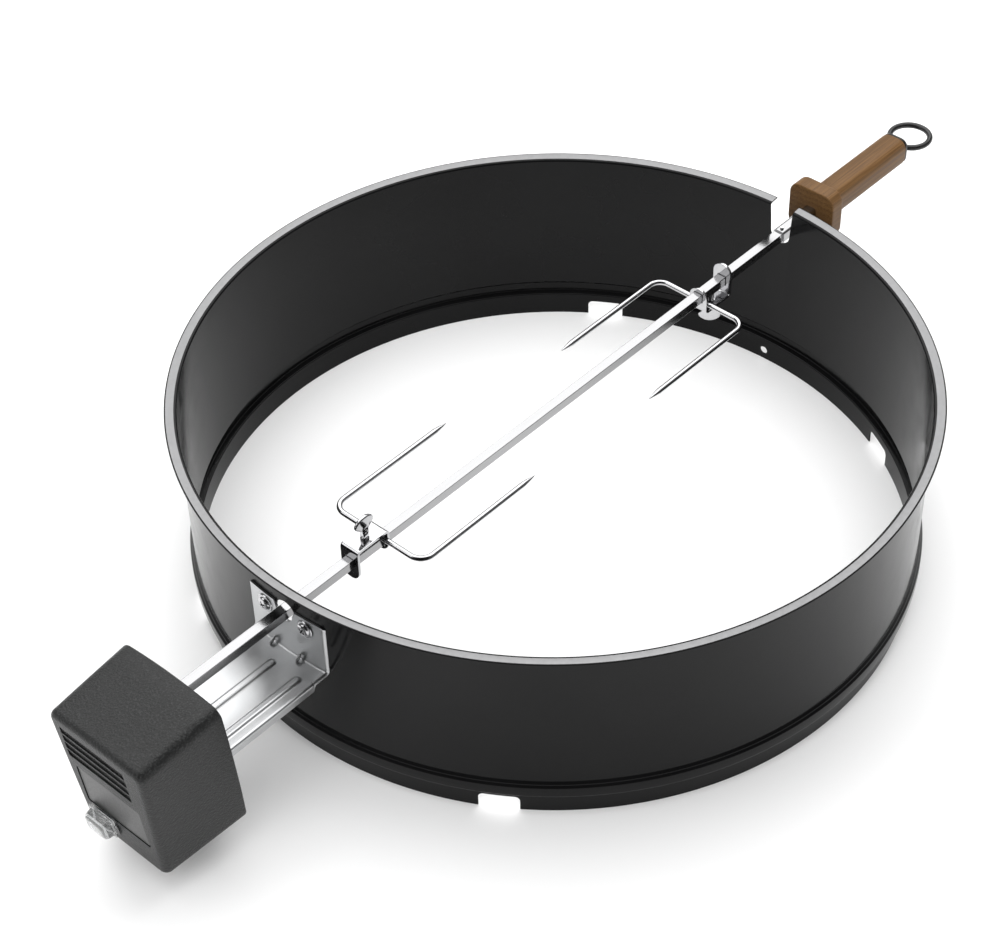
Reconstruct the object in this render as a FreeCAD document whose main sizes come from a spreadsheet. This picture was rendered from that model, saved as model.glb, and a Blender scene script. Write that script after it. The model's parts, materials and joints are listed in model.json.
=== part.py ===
"""Rotisserie spit roaster for a round kettle barbecue.

Origin: centre of the ring at its lower edge.  +X runs along the spit towards the handle, +Z is up.
Every driving dimension is a cell of the spreadsheet "Sizes", in millimetres or degrees.
"""
import FreeCAD, Part
import math
import os
import Sketcher

DIMENSIONS = {
    # ring
    "skirt_outer": 280.0, "bead_outer": 285.0, "wall_outer": 281.6, "rim_outer": 290.0, "sheet": 1.0,
    "bead_base": 20.0, "bead_top": 29.5, "wall_foot": 32.5, "rim_height": 161.2, "rim_rise": 1.2,
    "slot_half": 9.5, "slot_drop": 6.9, "slot_flare": 2.0, "spit_hole": 9.0, "notch_width": 30.0,
    "notch_height": 13.0, "hang_hole": 3.5, "hang_hole_side": 7.0, "hang_hole_height": 8.5,
    # spit line
    "spit_height": 133.0, "spit_side": 8.0, "spit_edge": 0.5, "spit_tip": -401.5, "spit_point": 3.0,
    "bush_start": 279.0, "bush_side": 11.0, "bush_bore": 8.1, "bush_screw_radius": 1.5,
    # motor bracket
    "bracket_sheet": 1.6, "bracket_half": 37.0, "flange_top": 138.5, "arm_top": 95.0, "bracket_gap": 0.1,
    "hanger_face": -389.6, "hanger_half": 32.0, "hanger_top": 146.0, "lip_depth": 5.0,
    "rib_pitch": 25.0, "rib_width": 5.0, "rib_rise": 1.0, "rib_start": 296.0, "rib_end": 380.0,
    "notch_half": 8.0, "bracket_screw_side": 19.5, "bracket_screw_height": 129.0,
    "hanger_screw_side": 26.0, "hanger_screw_low": 104.0, "hanger_screw_high": 140.0,
    "clear_hole": 2.2, "drive_hole": 12.0,
    # fasteners
    "screw_shank": 2.0, "pan_head": 5.2, "pan_rise": 3.0, "nut_size": 4.1, "nut_thick": 3.2,
    # motor cover
    "cover_wall": 2.5, "cover_round": 10.0, "cover_bend": 6.5, "cover_front_half": 44.9,
    "cover_back_half": 46.2, "cover_front_foot_half": 38.6, "cover_front_foot": 26.0, "cover_front_top": 143.4,
    "cover_back_foot": 34.4, "cover_back_top": 150.8, "cover_front_x": -439.0, "cover_back_x": -371.4,
    "front_lean": 5.8, "back_lean": 4.9, "front_crown": 1.5, "back_crown": 4.5,
    "boss_low_side": 33.4, "boss_high_side": 38.0, "boss_low": 47.5, "boss_high": 137.0,
    "boss_radius": 4.0, "boss_bore": 1.5, "vent_side": 5.5, "vent_width": 63.0, "vent_gap": 3.0,
    "vent_low": 106.0, "vent_pitch": 6.2, "panel_side": 1.5, "panel_width": 63.0, "panel_height": 39.0,
    "panel_centre": 73.7, "panel_depth": 0.8, "inlet_radius": 5.0, "inlet_side": 22.0, "inlet_height": 25.9,
    # switch
    "switch_side": 17.5, "switch_height": 46.0, "switch_width": 21.0, "switch_tall": 15.6,
    "bezel_edge": 1.6, "rocker_pivot": 2.2, "rocker_tilt": 8.0, "trunnion": 1.0,
    # gearbox
    "plate_thick": 1.6, "plate_face": -389.8, "cage_face": -421.0, "gear_module": 0.7,
    "gear_width": 5.0, "gear_bore": 1.55, "pin_radius": 1.5, "hub_radius": 8.0, "socket_bore": 8.2,
    "mesh_distance": 15.45, "post_radius": 2.5, "output_layer": -402.0, "second_layer": -409.0,
    "first_layer": -416.0,
    # motor
    "rotor_side": -11.0, "rotor_height": 91.3, "core_half": 23.0, "core_foot": 60.0, "core_top": 109.0,
    "core_face": -423.0, "core_depth": 16.0, "core_bore": 11.8, "rotor_radius": 11.2, "shaft_radius": 2.0,
    "coil_half": 12.0, "core_screw_side": 20.0,
    # handle
    "guard_face": 322.0, "guard_side": 44.0, "guard_round": 9.0, "guard_thick": 14.0,
    "grip_side": 25.0, "grip_round": 7.5, "grip_end": 441.0, "cap_thick": 2.5, "cap_side": 24.0,
    "eye_length": 8.0, "eye_half": 6.0, "eye_thick": 5.0, "eye_reach": 4.0, "eye_bore": 2.85,
    "loop_radius": 17.0, "loop_wire": 2.25, "rod_bore": 5.8, "rod_end": 3.0,
    # forks
    "fork_a": -202.5, "fork_b": 190.0, "fork_length": 32.0, "fork_width": 17.0, "fork_sheet": 2.0,
    "web_height": 13.5, "ear_drop": 6.5, "fork_bore": 9.0, "prong_half": 44.0, "prong_wire": 2.0,
    "prong_bend": 11.0, "prong_height": 6.3, "prong_cross": 12.0, "prong_reach": 119.0, "prong_point": 12.0,
    "screw_radius": 2.92, "screw_bore": 3.0, "spade_radius": 8.3, "spade_thick": 3.0, "spade_height": 25.0,
}

# Azimuths of the notches in the lower edge, seen from above, counter-clockwise from +X.
NOTCH_AZIMUTHS = (32.0, 147.0, 213.0, 330.5)
BIG_TEETH = 33
SMALL_TEETH = 11
# Turn of each thumbscrew's spade about its own upright axis.
SPADE_TURN = {"a": 0.0, "b": -52.0}

VEC = FreeCAD.Vector
ALONG_X = FreeCAD.Rotation(VEC(0, 1, 0), 90)
ALONG_Y = FreeCAD.Rotation(VEC(1, 0, 0), -90)

doc = FreeCAD.newDocument("SpitRoaster")
sheet = doc.addObject("Spreadsheet::Sheet", "Sizes")
nodes = []


class Size:
    """A length or angle with the spreadsheet formula that gives it."""

    def __init__(self, value, formula=None):
        self.value = float(value)
        self.formula = formula or repr(float(value))

    def __add__(self, other):
        other = as_size(other)
        return Size(self.value + other.value, "(%s + %s)" % (self.formula, other.formula))

    def __sub__(self, other):
        other = as_size(other)
        return Size(self.value - other.value, "(%s - %s)" % (self.formula, other.formula))

    def __mul__(self, other):
        other = as_size(other)
        return Size(self.value * other.value, "(%s * %s)" % (self.formula, other.formula))

    def __truediv__(self, other):
        other = as_size(other)
        return Size(self.value / other.value, "(%s / %s)" % (self.formula, other.formula))

    def __neg__(self):
        return as_size(0) - self

    def __radd__(self, other):
        return as_size(other) + self

    def __rsub__(self, other):
        return as_size(other) - self

    __rmul__ = __mul__


def as_size(number):
    """Return a plain number as a Size, and a Size unchanged."""
    return number if isinstance(number, Size) else Size(number)


class Sizes:
    """The spreadsheet's cells, by alias."""


for row, (alias, number) in enumerate(DIMENSIONS.items(), start=1):
    sheet.set("A%d" % row, alias)
    sheet.set("B%d" % row, str(number))
    sheet.setAlias("B%d" % row, alias)
    setattr(Sizes, alias, Size(number, "Sizes." + alias))
doc.recompute()
s = Sizes


# ---------------------------------------------------------------- helpers

def bind(item, prop, size):
    """Bind a property, or a part of one, to the spreadsheet."""
    item.setExpression(prop, as_size(size).formula)


def place(item, x=0, y=0, z=0, rotation=FreeCAD.Rotation()):
    """Turn an object about the origin, then move it to a place bound to the spreadsheet."""
    item.Placement = FreeCAD.Placement(VEC(), rotation)
    for axis, size in zip("xyz", (x, y, z)):
        bind(item, "Placement.Base." + axis, size)
    return item


def node(item, label):
    """Name a finished sub-part."""
    item.Label = label
    nodes.append(item)
    return item


def new_body(label):
    """Start a sub-part that is built from sketches."""
    return node(doc.addObject("PartDesign::Body", label), label)


def new_sketch(body, role, offset=0, rotation=FreeCAD.Rotation()):
    """Make a sketch on one of the body's own planes, moved along the plane's normal."""
    sketch = body.newObject("Sketcher::SketchObject", body.Name + "_sketch")
    plane = next(item for item in body.Origin.OriginFeatures if item.Role == role)
    sketch.AttachmentSupport = [(plane, "")]
    sketch.MapMode = "FlatFace"
    sketch.AttachmentOffset = FreeCAD.Placement(VEC(), rotation)
    bind(sketch, "AttachmentOffset.Base.z", offset)
    return sketch


def fix_point(sketch, geometry, position, x, y):
    """Bind a sketch point's two coordinates."""
    for kind, size in (("DistanceX", x), ("DistanceY", y)):
        index = sketch.addConstraint(
            Sketcher.Constraint(kind, -1, 1, geometry, position, as_size(size).value))
        sketch.setExpression("Constraints[%d]" % index, as_size(size).formula)


def add_circle(sketch, radius, x=0, y=0):
    """Add a circle with a bound radius and centre."""
    centre = VEC(as_size(x).value, as_size(y).value, 0)
    circle = sketch.addGeometry(Part.Circle(centre, VEC(0, 0, 1), as_size(radius).value))
    index = sketch.addConstraint(Sketcher.Constraint("Radius", circle, as_size(radius).value))
    sketch.setExpression("Constraints[%d]" % index, as_size(radius).formula)
    fix_point(sketch, circle, 3, x, y)


def add_outline(sketch, corners):
    """Add a closed outline of straight sides.  A corner is (x, y) or, rounded, (x, y, radius)."""
    points = [VEC(as_size(c[0]).value, as_size(c[1]).value, 0) for c in corners]
    radii = [as_size(c[2]) if len(c) > 2 else None for c in corners]
    count = len(corners)
    entry, leave, turns = [], [], []
    for i, point in enumerate(points):
        to_last = (points[i - 1] - point).normalize()
        to_next = (points[(i + 1) % count] - point).normalize()
        turns.append(to_next.cross(to_last).z)
        cut = radii[i].value / math.tan(to_last.getAngle(to_next) / 2) if radii[i] else 0.0
        entry.append(point + to_last * cut)
        leave.append(point + to_next * cut)
    sides = [sketch.addGeometry(Part.LineSegment(leave[i], entry[(i + 1) % count]))
             for i in range(count)]
    for i, point in enumerate(points):
        before, after = sides[i - 1], sides[i]
        if not radii[i]:
            sketch.addConstraint(Sketcher.Constraint("Coincident", before, 2, after, 1))
            fix_point(sketch, after, 1, corners[i][0], corners[i][1])
            continue
        inward = ((entry[i] - point).normalize() + (leave[i] - point).normalize()).normalize()
        half = (entry[i] - point).getAngle(inward)
        centre = point + inward * (radii[i].value / math.sin(half))
        first, last = (entry[i], leave[i]) if turns[i] > 0 else (leave[i], entry[i])
        angles = [math.atan2(p.y - centre.y, p.x - centre.x) for p in (first, last)]
        circle = Part.Circle(centre, VEC(0, 0, 1), radii[i].value)
        arc = sketch.addGeometry(Part.ArcOfCircle(circle, angles[0], angles[1]))
        start, end = (1, 2) if turns[i] > 0 else (2, 1)
        sketch.addConstraint(Sketcher.Constraint("Tangent", before, 2, arc, start))
        sketch.addConstraint(Sketcher.Constraint("Tangent", arc, end, after, 1))
        index = sketch.addConstraint(Sketcher.Constraint("Radius", arc, radii[i].value))
        sketch.setExpression("Constraints[%d]" % index, radii[i].formula)
        vertex = sketch.addGeometry(Part.Point(point), True)
        fix_point(sketch, vertex, 1, corners[i][0], corners[i][1])
        sketch.addConstraint(Sketcher.Constraint("PointOnObject", vertex, 1, before))
        sketch.addConstraint(Sketcher.Constraint("PointOnObject", vertex, 1, after))


def box_corners(width, height, radius=None, x=0, y=0):
    """Corners of a rectangle about a centre."""
    signs = ((-1, -1), (1, -1), (1, 1), (-1, 1))
    ends = [(x + width * 0.5 * i, y + height * 0.5 * j) for i, j in signs]
    return [end + (radius,) for end in ends] if radius else ends


def extrude(kind, body, sketch, length, symmetric=False, backwards=False):
    """Add a Pad or Pocket of a sketch."""
    feature = body.newObject("PartDesign::" + kind, body.Name + "_" + kind)
    feature.Profile = sketch
    bind(feature, "Length", length)
    feature.SideType = "Symmetric" if symmetric else "One side"
    feature.Reversed = backwards
    return feature


def pad(body, sketch, length, **options):
    """Add material along the sketch's normal."""
    return extrude("Pad", body, sketch, length, **options)


def pocket(body, sketch, length, **options):
    """Remove material against the sketch's normal, or along it when backwards."""
    return extrude("Pocket", body, sketch, length, **options)


def turn_profile(body, sketch, axis):
    """Revolve a sketch about one of its own axes."""
    feature = body.newObject("PartDesign::Revolution", body.Name + "_turn")
    feature.Profile = sketch
    feature.ReferenceAxis = (sketch, [axis])
    feature.Angle = 360
    return feature


def round_edges(body, feature, radius, wanted):
    """Fillet the edges of a feature that a test picks."""
    doc.recompute()
    edges = ["Edge%d" % (i + 1) for i, edge in enumerate(feature.Shape.Edges) if wanted(edge)]
    fillet = body.newObject("PartDesign::Fillet", body.Name + "_round")
    fillet.Base = (feature, edges)
    bind(fillet, "Radius", radius)
    return fillet


def cylinder(radius, height, x=0, y=0, z=0, rotation=FreeCAD.Rotation()):
    """A Part cylinder, along Z unless turned."""
    item = doc.addObject("Part::Cylinder", "cylinder")
    bind(item, "Radius", radius)
    bind(item, "Height", height)
    return place(item, x, y, z, rotation)


def block(length, width, height, x=0, y=0, z=0):
    """A Part box centred on x and y, standing on z."""
    item = doc.addObject("Part::Box", "block")
    for prop, size in (("Length", length), ("Width", width), ("Height", height)):
        bind(item, prop, size)
    return place(item, x - as_size(length) / 2, y - as_size(width) / 2, z)


def fuse(*items):
    """Join Part shapes."""
    item = doc.addObject("Part::MultiFuse", "fuse")
    item.Shapes = list(items)
    item.Refine = True
    return item


def cut(base, *tools):
    """Take Part shapes out of a base shape."""
    item = doc.addObject("Part::Cut", "cut")
    item.Base = base
    item.Tool = tools[0] if len(tools) == 1 else fuse(*tools)
    item.Refine = True
    return item


def group(label, items):
    """Identical fasteners: separate solids in one sub-part."""
    item = doc.addObject("Part::Compound", label)
    item.Links = list(items)
    return node(item, label)


# ---------------------------------------------------------------- ring

def make_ring():
    """The enamelled sheet-steel ring: skirt, shoulder bead, wall and flared rim."""
    body = new_body("ring_shell")
    profile = new_sketch(body, "YZ_Plane")
    inside = s.sheet
    tight, wide = 1.0, 2.0
    add_outline(profile, [
        (s.skirt_outer, 0), (s.skirt_outer, s.bead_base - inside, tight),
        (s.bead_outer, s.bead_base, wide), (s.bead_outer, s.bead_top, wide),
        (s.wall_outer, s.wall_foot, tight),
        (s.wall_outer, s.rim_height - s.rim_rise - inside, tight),
        (s.rim_outer, s.rim_height - inside),
        (s.rim_outer, s.rim_height), (s.wall_outer - inside, s.rim_height - s.rim_rise, wide),
        (s.wall_outer - inside, s.wall_foot - inside / 2, wide),
        (s.bead_outer - inside, s.bead_top - inside / 2, tight),
        (s.bead_outer - inside, s.bead_base + inside, tight),
        (s.skirt_outer - inside, s.bead_base, wide), (s.skirt_outer - inside, 0)])
    turn_profile(body, profile, "V_Axis")

    slot_round = s.spit_height - s.slot_drop + s.slot_half
    throat = new_sketch(body, "YZ_Plane", 250)
    add_outline(throat, [
        (-s.slot_half, slot_round), (s.slot_half, slot_round),
        (s.slot_half + s.slot_flare, s.rim_height + 3), (-s.slot_half - s.slot_flare, s.rim_height + 3)])
    pocket(body, throat, 60, backwards=True)
    seat = new_sketch(body, "YZ_Plane", 250)
    add_circle(seat, s.slot_half, 0, slot_round)
    add_circle(seat, s.hang_hole, s.hang_hole_side, s.hang_hole_height)
    pocket(body, seat, 60, backwards=True)

    entry = new_sketch(body, "YZ_Plane", -250)
    add_circle(entry, s.spit_hole, 0, s.spit_height)
    for side in (-1, 1):
        add_circle(entry, s.clear_hole, s.bracket_screw_side * side, s.bracket_screw_height)
    pocket(body, entry, 60)

    for azimuth in NOTCH_AZIMUTHS:
        # The sketch's normal points outwards at the azimuth, its own Y is up.
        facing = FreeCAD.Rotation(VEC(0, 0, 1), azimuth) * FreeCAD.Rotation(VEC(1, 1, 1), 120)
        notch = new_sketch(body, "XY_Plane", 0, facing)
        half = s.notch_width / 2
        add_outline(notch, [(-half, -2), (half, -2), (half, s.notch_height, 4), (-half, s.notch_height, 4)])
        pocket(body, notch, 300, backwards=True)


# ---------------------------------------------------------------- motor bracket

def make_bracket():
    """Folded bracket: flange on the ring's wall, arm, and hanger flange for the motor."""
    body = new_body("motor_bracket")
    side = new_sketch(body, "XZ_Plane")
    back = -(s.wall_outer + s.bracket_gap)
    front = back - s.bracket_sheet
    under = s.arm_top - s.bracket_sheet
    hang = s.hanger_face
    add_outline(side, [
        (back, s.flange_top), (front, s.flange_top), (front, s.arm_top, 1.5),
        (hang + s.bracket_sheet, s.arm_top, 1.5), (hang + s.bracket_sheet, s.hanger_top),
        (hang, s.hanger_top), (hang, under, 3.1), (back, under, 3.1)])
    sheet_metal = pad(body, side, s.bracket_half * 2, symmetric=True)
    round_edges(body, sheet_metal, 3.5, lambda edge: (
        edge.BoundBox.ZMin > s.flange_top.value - 0.01 and edge.BoundBox.YLength < 0.01
        and edge.BoundBox.XMin > -300))

    lips = new_sketch(body, "YZ_Plane", -s.rib_end)
    for sign in (-1, 1):
        middle = (s.bracket_half - s.bracket_sheet / 2) * sign
        add_outline(lips, box_corners(
            s.bracket_sheet, s.lip_depth, None, middle, s.arm_top - s.bracket_sheet / 2 - s.lip_depth / 2))
    pad(body, lips, s.rib_end - s.rib_start + 3)

    ribs = new_sketch(body, "XY_Plane", s.arm_top - 0.5)
    for step in (-1, 0, 1):
        add_outline(ribs, box_corners(
            s.rib_end - s.rib_start, s.rib_width, s.rib_width / 2 - 0.01,
            -(s.rib_end + s.rib_start) / 2, s.rib_pitch * step))
    pad(body, ribs, s.rib_rise + 0.5)

    for sign in (-1, 1):
        dart = new_sketch(body, "XZ_Plane", s.rib_pitch * 0.52 * sign)
        add_outline(dart, [(front + 0.5, s.arm_top - 0.5), (front + 0.5, s.arm_top + 5),
                           (front - 5, s.arm_top - 0.5)])
        pad(body, dart, 3.5, symmetric=True)

    opening = new_sketch(body, "YZ_Plane", back + 5)
    add_circle(opening, s.notch_half, 0, s.spit_height)
    for sign in (-1, 1):
        add_circle(opening, s.clear_hole, s.bracket_screw_side * sign, s.bracket_screw_height)
    pocket(body, opening, 20)
    mouth = new_sketch(body, "YZ_Plane", back + 5)
    add_outline(mouth, [(-s.notch_half, s.spit_height), (s.notch_half, s.spit_height),
                        (s.notch_half + 3.5, s.flange_top + 2), (-s.notch_half - 3.5, s.flange_top + 2)])
    pocket(body, mouth, 20)

    hanger = new_sketch(body, "YZ_Plane", hang + 3)
    add_circle(hanger, s.drive_hole, 0, s.spit_height)
    for sign in (-1, 1):
        for height in (s.hanger_screw_low, s.hanger_screw_high):
            add_circle(hanger, s.clear_hole, s.hanger_screw_side * sign, height)
        spare = s.bracket_half - s.hanger_half + 2
        add_outline(hanger, box_corners(
            spare, s.hanger_top - s.arm_top, None,
            (s.hanger_half + spare / 2) * sign, (s.hanger_top + s.arm_top) / 2 + 3))
    pocket(body, hanger, 6)


def pan_screw(length, x, y, z, toward=-1):
    """A cross-recess pan-head screw along X, with its head's underside at x."""
    head = cylinder(s.pan_head, s.pan_rise, rotation=ALONG_X)
    crown = doc.addObject("Part::Fillet", "pan_crown")
    crown.Base = head
    doc.recompute()
    top = max(range(len(head.Shape.Edges)), key=lambda i: head.Shape.Edges[i].BoundBox.XMin)
    crown.Edges = [(top + 1, 1.8, 1.8)]
    shank = cylinder(s.screw_shank, length, x=-as_size(length), rotation=ALONG_X)
    recess = [block(2.4, width, depth, x=s.pan_rise, z=-as_size(depth) / 2)
              for width, depth in ((1.2, 5.2), (5.2, 1.2))]
    screw = cut(fuse(crown, shank), *recess)
    turn = FreeCAD.Rotation(VEC(0, 0, 1), 180) if toward < 0 else FreeCAD.Rotation()
    return place(screw, x, y, z, turn)


def hex_nut(x, y, z, bore=None):
    """A hex nut along X, from x towards +X."""
    prism = doc.addObject("Part::Prism", "hex")
    prism.Polygon = 6
    bind(prism, "Circumradius", s.nut_size)
    bind(prism, "Height", s.nut_thick)
    place(prism, rotation=ALONG_X)
    hole = cylinder(bore or s.screw_shank + 0.05, s.nut_thick + 2, x=-1, rotation=ALONG_X)
    return place(cut(prism, hole), x, y, z)


def make_bracket_fasteners():
    """Screws through the flange and the wall, with washers and nuts inside the ring."""
    head = -(s.wall_outer + s.bracket_gap + s.bracket_sheet)
    inner = -(s.wall_outer - s.sheet) + 1.3
    height = s.bracket_screw_height
    sides = [s.bracket_screw_side * sign for sign in (-1, 1)]
    group("bracket_screws", [pan_screw(13, head, y, height) for y in sides])
    washers = []
    for y in sides:
        disc = cylinder(5, 1, x=inner, y=y, z=height, rotation=ALONG_X)
        hole = cylinder(s.clear_hole, 3, x=inner - 1, y=y, z=height, rotation=ALONG_X)
        washers.append(cut(disc, hole))
    group("bracket_washers", washers)
    group("bracket_nuts", [hex_nut(inner + 1, y, height) for y in sides])


def make_hanger_fasteners():
    """Screws that hold the motor plate to the bracket's hanger flange."""
    head = s.hanger_face + s.bracket_sheet
    places = [(s.hanger_screw_side * sign, height) for sign in (-1, 1)
              for height in (s.hanger_screw_low, s.hanger_screw_high)]
    group("hanger_screws", [pan_screw(8, head, y, z, toward=1) for y, z in places])
    nut_face = s.plate_face - s.plate_thick - s.nut_thick
    group("hanger_nuts", [hex_nut(nut_face, y, z) for y, z in places])


# ---------------------------------------------------------------- motor cover

def cover_section(body, x, lean, half, foot_half, foot, top, crown, inset):
    """A leaning rounded section of the cover, crowned at the top and the sides."""
    sketch = new_sketch(body, "YZ_Plane", x, FreeCAD.Rotation(VEC(1, 0, 0), -lean.value))
    half, foot_half, foot, top = half - inset, foot_half - inset, foot + inset, top - inset
    corner = s.cover_round - inset
    middle = (foot + top) / 2
    waist = (half + foot_half) / 2 + crown * 0.4
    add_outline(sketch, [
        (-foot_half, foot, corner), (foot_half, foot, corner), (waist, middle, 250),
        (half, top, corner), (0, top + crown, 150), (-half, top, corner), (-waist, middle, 250)])
    return sketch


def cover_loft(body, kind, inset, front_x, back_x, rounding=0):
    """Loft the cover, outside or inside, from its front through its rounded edge to its back."""
    steps = 3 if rounding else 0
    sections = []
    for step in range(steps + 1):
        angle = math.radians(90 * step / steps) if steps else math.pi / 2
        sections.append(cover_section(
            body, front_x + rounding * (1 - math.cos(angle) if steps else 0), s.front_lean,
            s.cover_front_half, s.cover_front_foot_half, s.cover_front_foot, s.cover_front_top,
            s.front_crown, inset + rounding * (1 - math.sin(angle))))
    sections.append(cover_section(
        body, back_x, s.back_lean, s.cover_back_half, s.cover_back_half, s.cover_back_foot,
        s.cover_back_top, s.back_crown, as_size(inset)))
    loft = body.newObject("PartDesign::" + kind, body.Name + "_" + kind)
    loft.Profile = sections[0]
    loft.Sections = sections[1:]
    loft.Ruled = True


def front_sketch(body, inward=0):
    """A sketch parallel to the cover's leaning front face, moved in along its normal."""
    lean = math.radians(s.front_lean.value)
    sketch = new_sketch(body, "YZ_Plane", s.cover_front_x + as_size(inward) * math.cos(lean),
                        FreeCAD.Rotation(VEC(1, 0, 0), -s.front_lean.value))
    bind(sketch, "AttachmentOffset.Base.y", as_size(inward) * math.sin(lean))
    return sketch


def boss_places():
    """Centres of the bosses that take the cover's screws."""
    return [(side * sign, height) for side, height in
            ((s.boss_low_side, s.boss_low), (s.boss_high_side, s.boss_high)) for sign in (-1, 1)]


def make_cover():
    """Moulded motor cover: vents, panel recess, switch opening, bosses and cord opening."""
    body = new_body("motor_cover")
    cover_loft(body, "AdditiveLoft", 0, s.cover_front_x, s.cover_back_x, s.cover_bend)
    cover_loft(body, "SubtractiveLoft", s.cover_wall, s.cover_front_x + s.cover_wall, s.cover_back_x + 0.1)

    lean_rate = math.tan(math.radians(s.front_lean.value))
    for side, height in ((s.boss_low_side, s.boss_low), (s.boss_high_side, s.boss_high)):
        bosses = new_sketch(body, "YZ_Plane", s.plate_face - s.plate_thick - 0.1)
        for sign in (-1, 1):
            add_circle(bosses, s.boss_radius, side * sign, height)
        front_wall = s.cover_front_x - height * lean_rate + s.cover_wall / 2
        pad(body, bosses, s.plate_face - s.plate_thick - 0.1 - front_wall, backwards=True)
    bores = new_sketch(body, "YZ_Plane", s.plate_face)
    for side, height in boss_places():
        add_circle(bores, s.boss_bore, side, height)
    pocket(body, bores, 30)

    vents = front_sketch(body, -10)
    for step in range(5):
        add_outline(vents, box_corners(
            s.vent_width, s.vent_gap, 1.2, s.vent_side, s.vent_low + s.vent_pitch * step))
    pocket(body, vents, 15, backwards=True)
    panel = front_sketch(body, -10)
    add_outline(panel, box_corners(s.panel_width, s.panel_height, 2, s.panel_side, s.panel_centre))
    pocket(body, panel, 10 + s.panel_depth, backwards=True)
    switch = front_sketch(body, -10)
    add_outline(switch, box_corners(
        s.switch_width + 0.4, s.switch_tall + 0.4, 1, s.switch_side, s.switch_height))
    pocket(body, switch, 15, backwards=True)
    inlet = new_sketch(body, "XY_Plane", 60)
    add_circle(inlet, s.inlet_radius, s.first_layer, s.inlet_side)
    pocket(body, inlet, 40)


def make_cover_fittings():
    """The blank panel, the cover's screws and the bush where a cord would enter."""
    body = new_body("rating_plate")
    plate = front_sketch(body, s.panel_depth)
    add_outline(plate, box_corners(
        s.panel_width - 0.6, s.panel_height - 0.6, 1.7, s.panel_side, s.panel_centre))
    pad(body, plate, 0.5, backwards=True)

    screws = []
    for y, z in boss_places():
        head = cylinder(3, 1.8, x=s.plate_face, y=y, z=z, rotation=ALONG_X)
        shank = cylinder(s.boss_bore - 0.05, 16, x=s.plate_face - 16, y=y, z=z, rotation=ALONG_X)
        screws.append(fuse(head, shank))
    group("cover_screws", screws)

    bush = new_body("cord_inlet")
    profile = new_sketch(bush, "XZ_Plane")
    add_outline(profile, [
        (3, 0), (s.inlet_radius + 1.5, 0), (s.inlet_radius + 1.5, 1.5), (s.inlet_radius - 0.1, 1.5),
        (s.inlet_radius - 0.1, 8), (3, 8)])
    turn_profile(bush, profile, "V_Axis")
    place(bush, s.first_layer, s.inlet_side, s.inlet_height)


def place_on_front(item, depth=0, tilt=0):
    """Local +Z out of the leaning front face, local +Y up it; origin at a depth under the face."""
    lean = math.radians(s.front_lean.value)
    out = VEC(-math.cos(lean), 0, -math.sin(lean))
    up = VEC(-math.sin(lean), 0, math.cos(lean))
    facing = FreeCAD.Rotation(VEC(0, -1, 0), up, out, "ZYX")
    depth = as_size(depth)
    x = s.cover_front_x - s.switch_height * math.sin(lean) - depth * out.x
    z = s.switch_height * math.cos(lean) - depth * out.z
    return place(item, x, s.switch_side, z, facing * FreeCAD.Rotation(VEC(1, 0, 0), tilt))


def make_switch():
    """Rocker switch with its bezel, rocker on two trunnions, and clear boot."""
    wide, tall, edge = s.switch_width, s.switch_tall, s.bezel_edge
    body = new_body("switch_body")
    case = new_sketch(body, "XY_Plane", -13)
    add_outline(case, box_corners(wide, tall, 1))
    pad(body, case, 13.1)
    bezel = new_sketch(body, "XY_Plane", 0.1)
    add_outline(bezel, box_corners(wide + edge * 2, tall + edge * 2, 2))
    pad(body, bezel, 1.5)
    well = new_sketch(body, "XY_Plane", 5)
    add_outline(well, box_corners(wide - 4, tall - 3, 1))
    pocket(body, well, 11)
    pivot = new_sketch(body, "YZ_Plane")
    add_circle(pivot, s.trunnion + 0.05, 0, -s.rocker_pivot)
    pocket(body, pivot, wide - 1, symmetric=True)
    place_on_front(body)

    rocker = new_body("switch_rocker")
    side = new_sketch(rocker, "YZ_Plane")
    reach = tall / 2 - 3.4
    add_outline(side, [(-reach, 0.7), (-2.4, -2.3), (2.4, -2.3), (reach, 0.7), (reach + 0.4, 5.8, 0.8),
                       (0, 4, 14), (-reach - 0.4, 5.8, 0.8)])
    pad(rocker, side, wide - 5.5, symmetric=True)
    pivot = new_sketch(rocker, "YZ_Plane")
    add_circle(pivot, s.trunnion)
    pad(rocker, pivot, wide - 2, symmetric=True)
    place_on_front(rocker, s.rocker_pivot, -s.rocker_tilt.value)

    boot = new_body("switch_boot")
    foot = new_sketch(boot, "XY_Plane", 1.7)
    add_outline(foot, box_corners(wide + edge * 2, tall + edge * 2, 2))
    pad(boot, foot, 1.2)
    dome = new_sketch(boot, "XY_Plane", 1.7)
    add_outline(dome, box_corners(wide + 0.6, tall + 0.6, 3))
    raised = pad(boot, dome, 7.5)
    round_edges(boot, raised, 2.4, lambda edge: edge.BoundBox.ZMin > 9.1)
    hollow = new_sketch(boot, "XY_Plane", 1.7)
    add_outline(hollow, box_corners(wide - 1.4, tall - 1.4, 2))
    pocket(boot, hollow, 6.5, backwards=True)
    place_on_front(boot)


# ---------------------------------------------------------------- gearbox and motor

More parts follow.
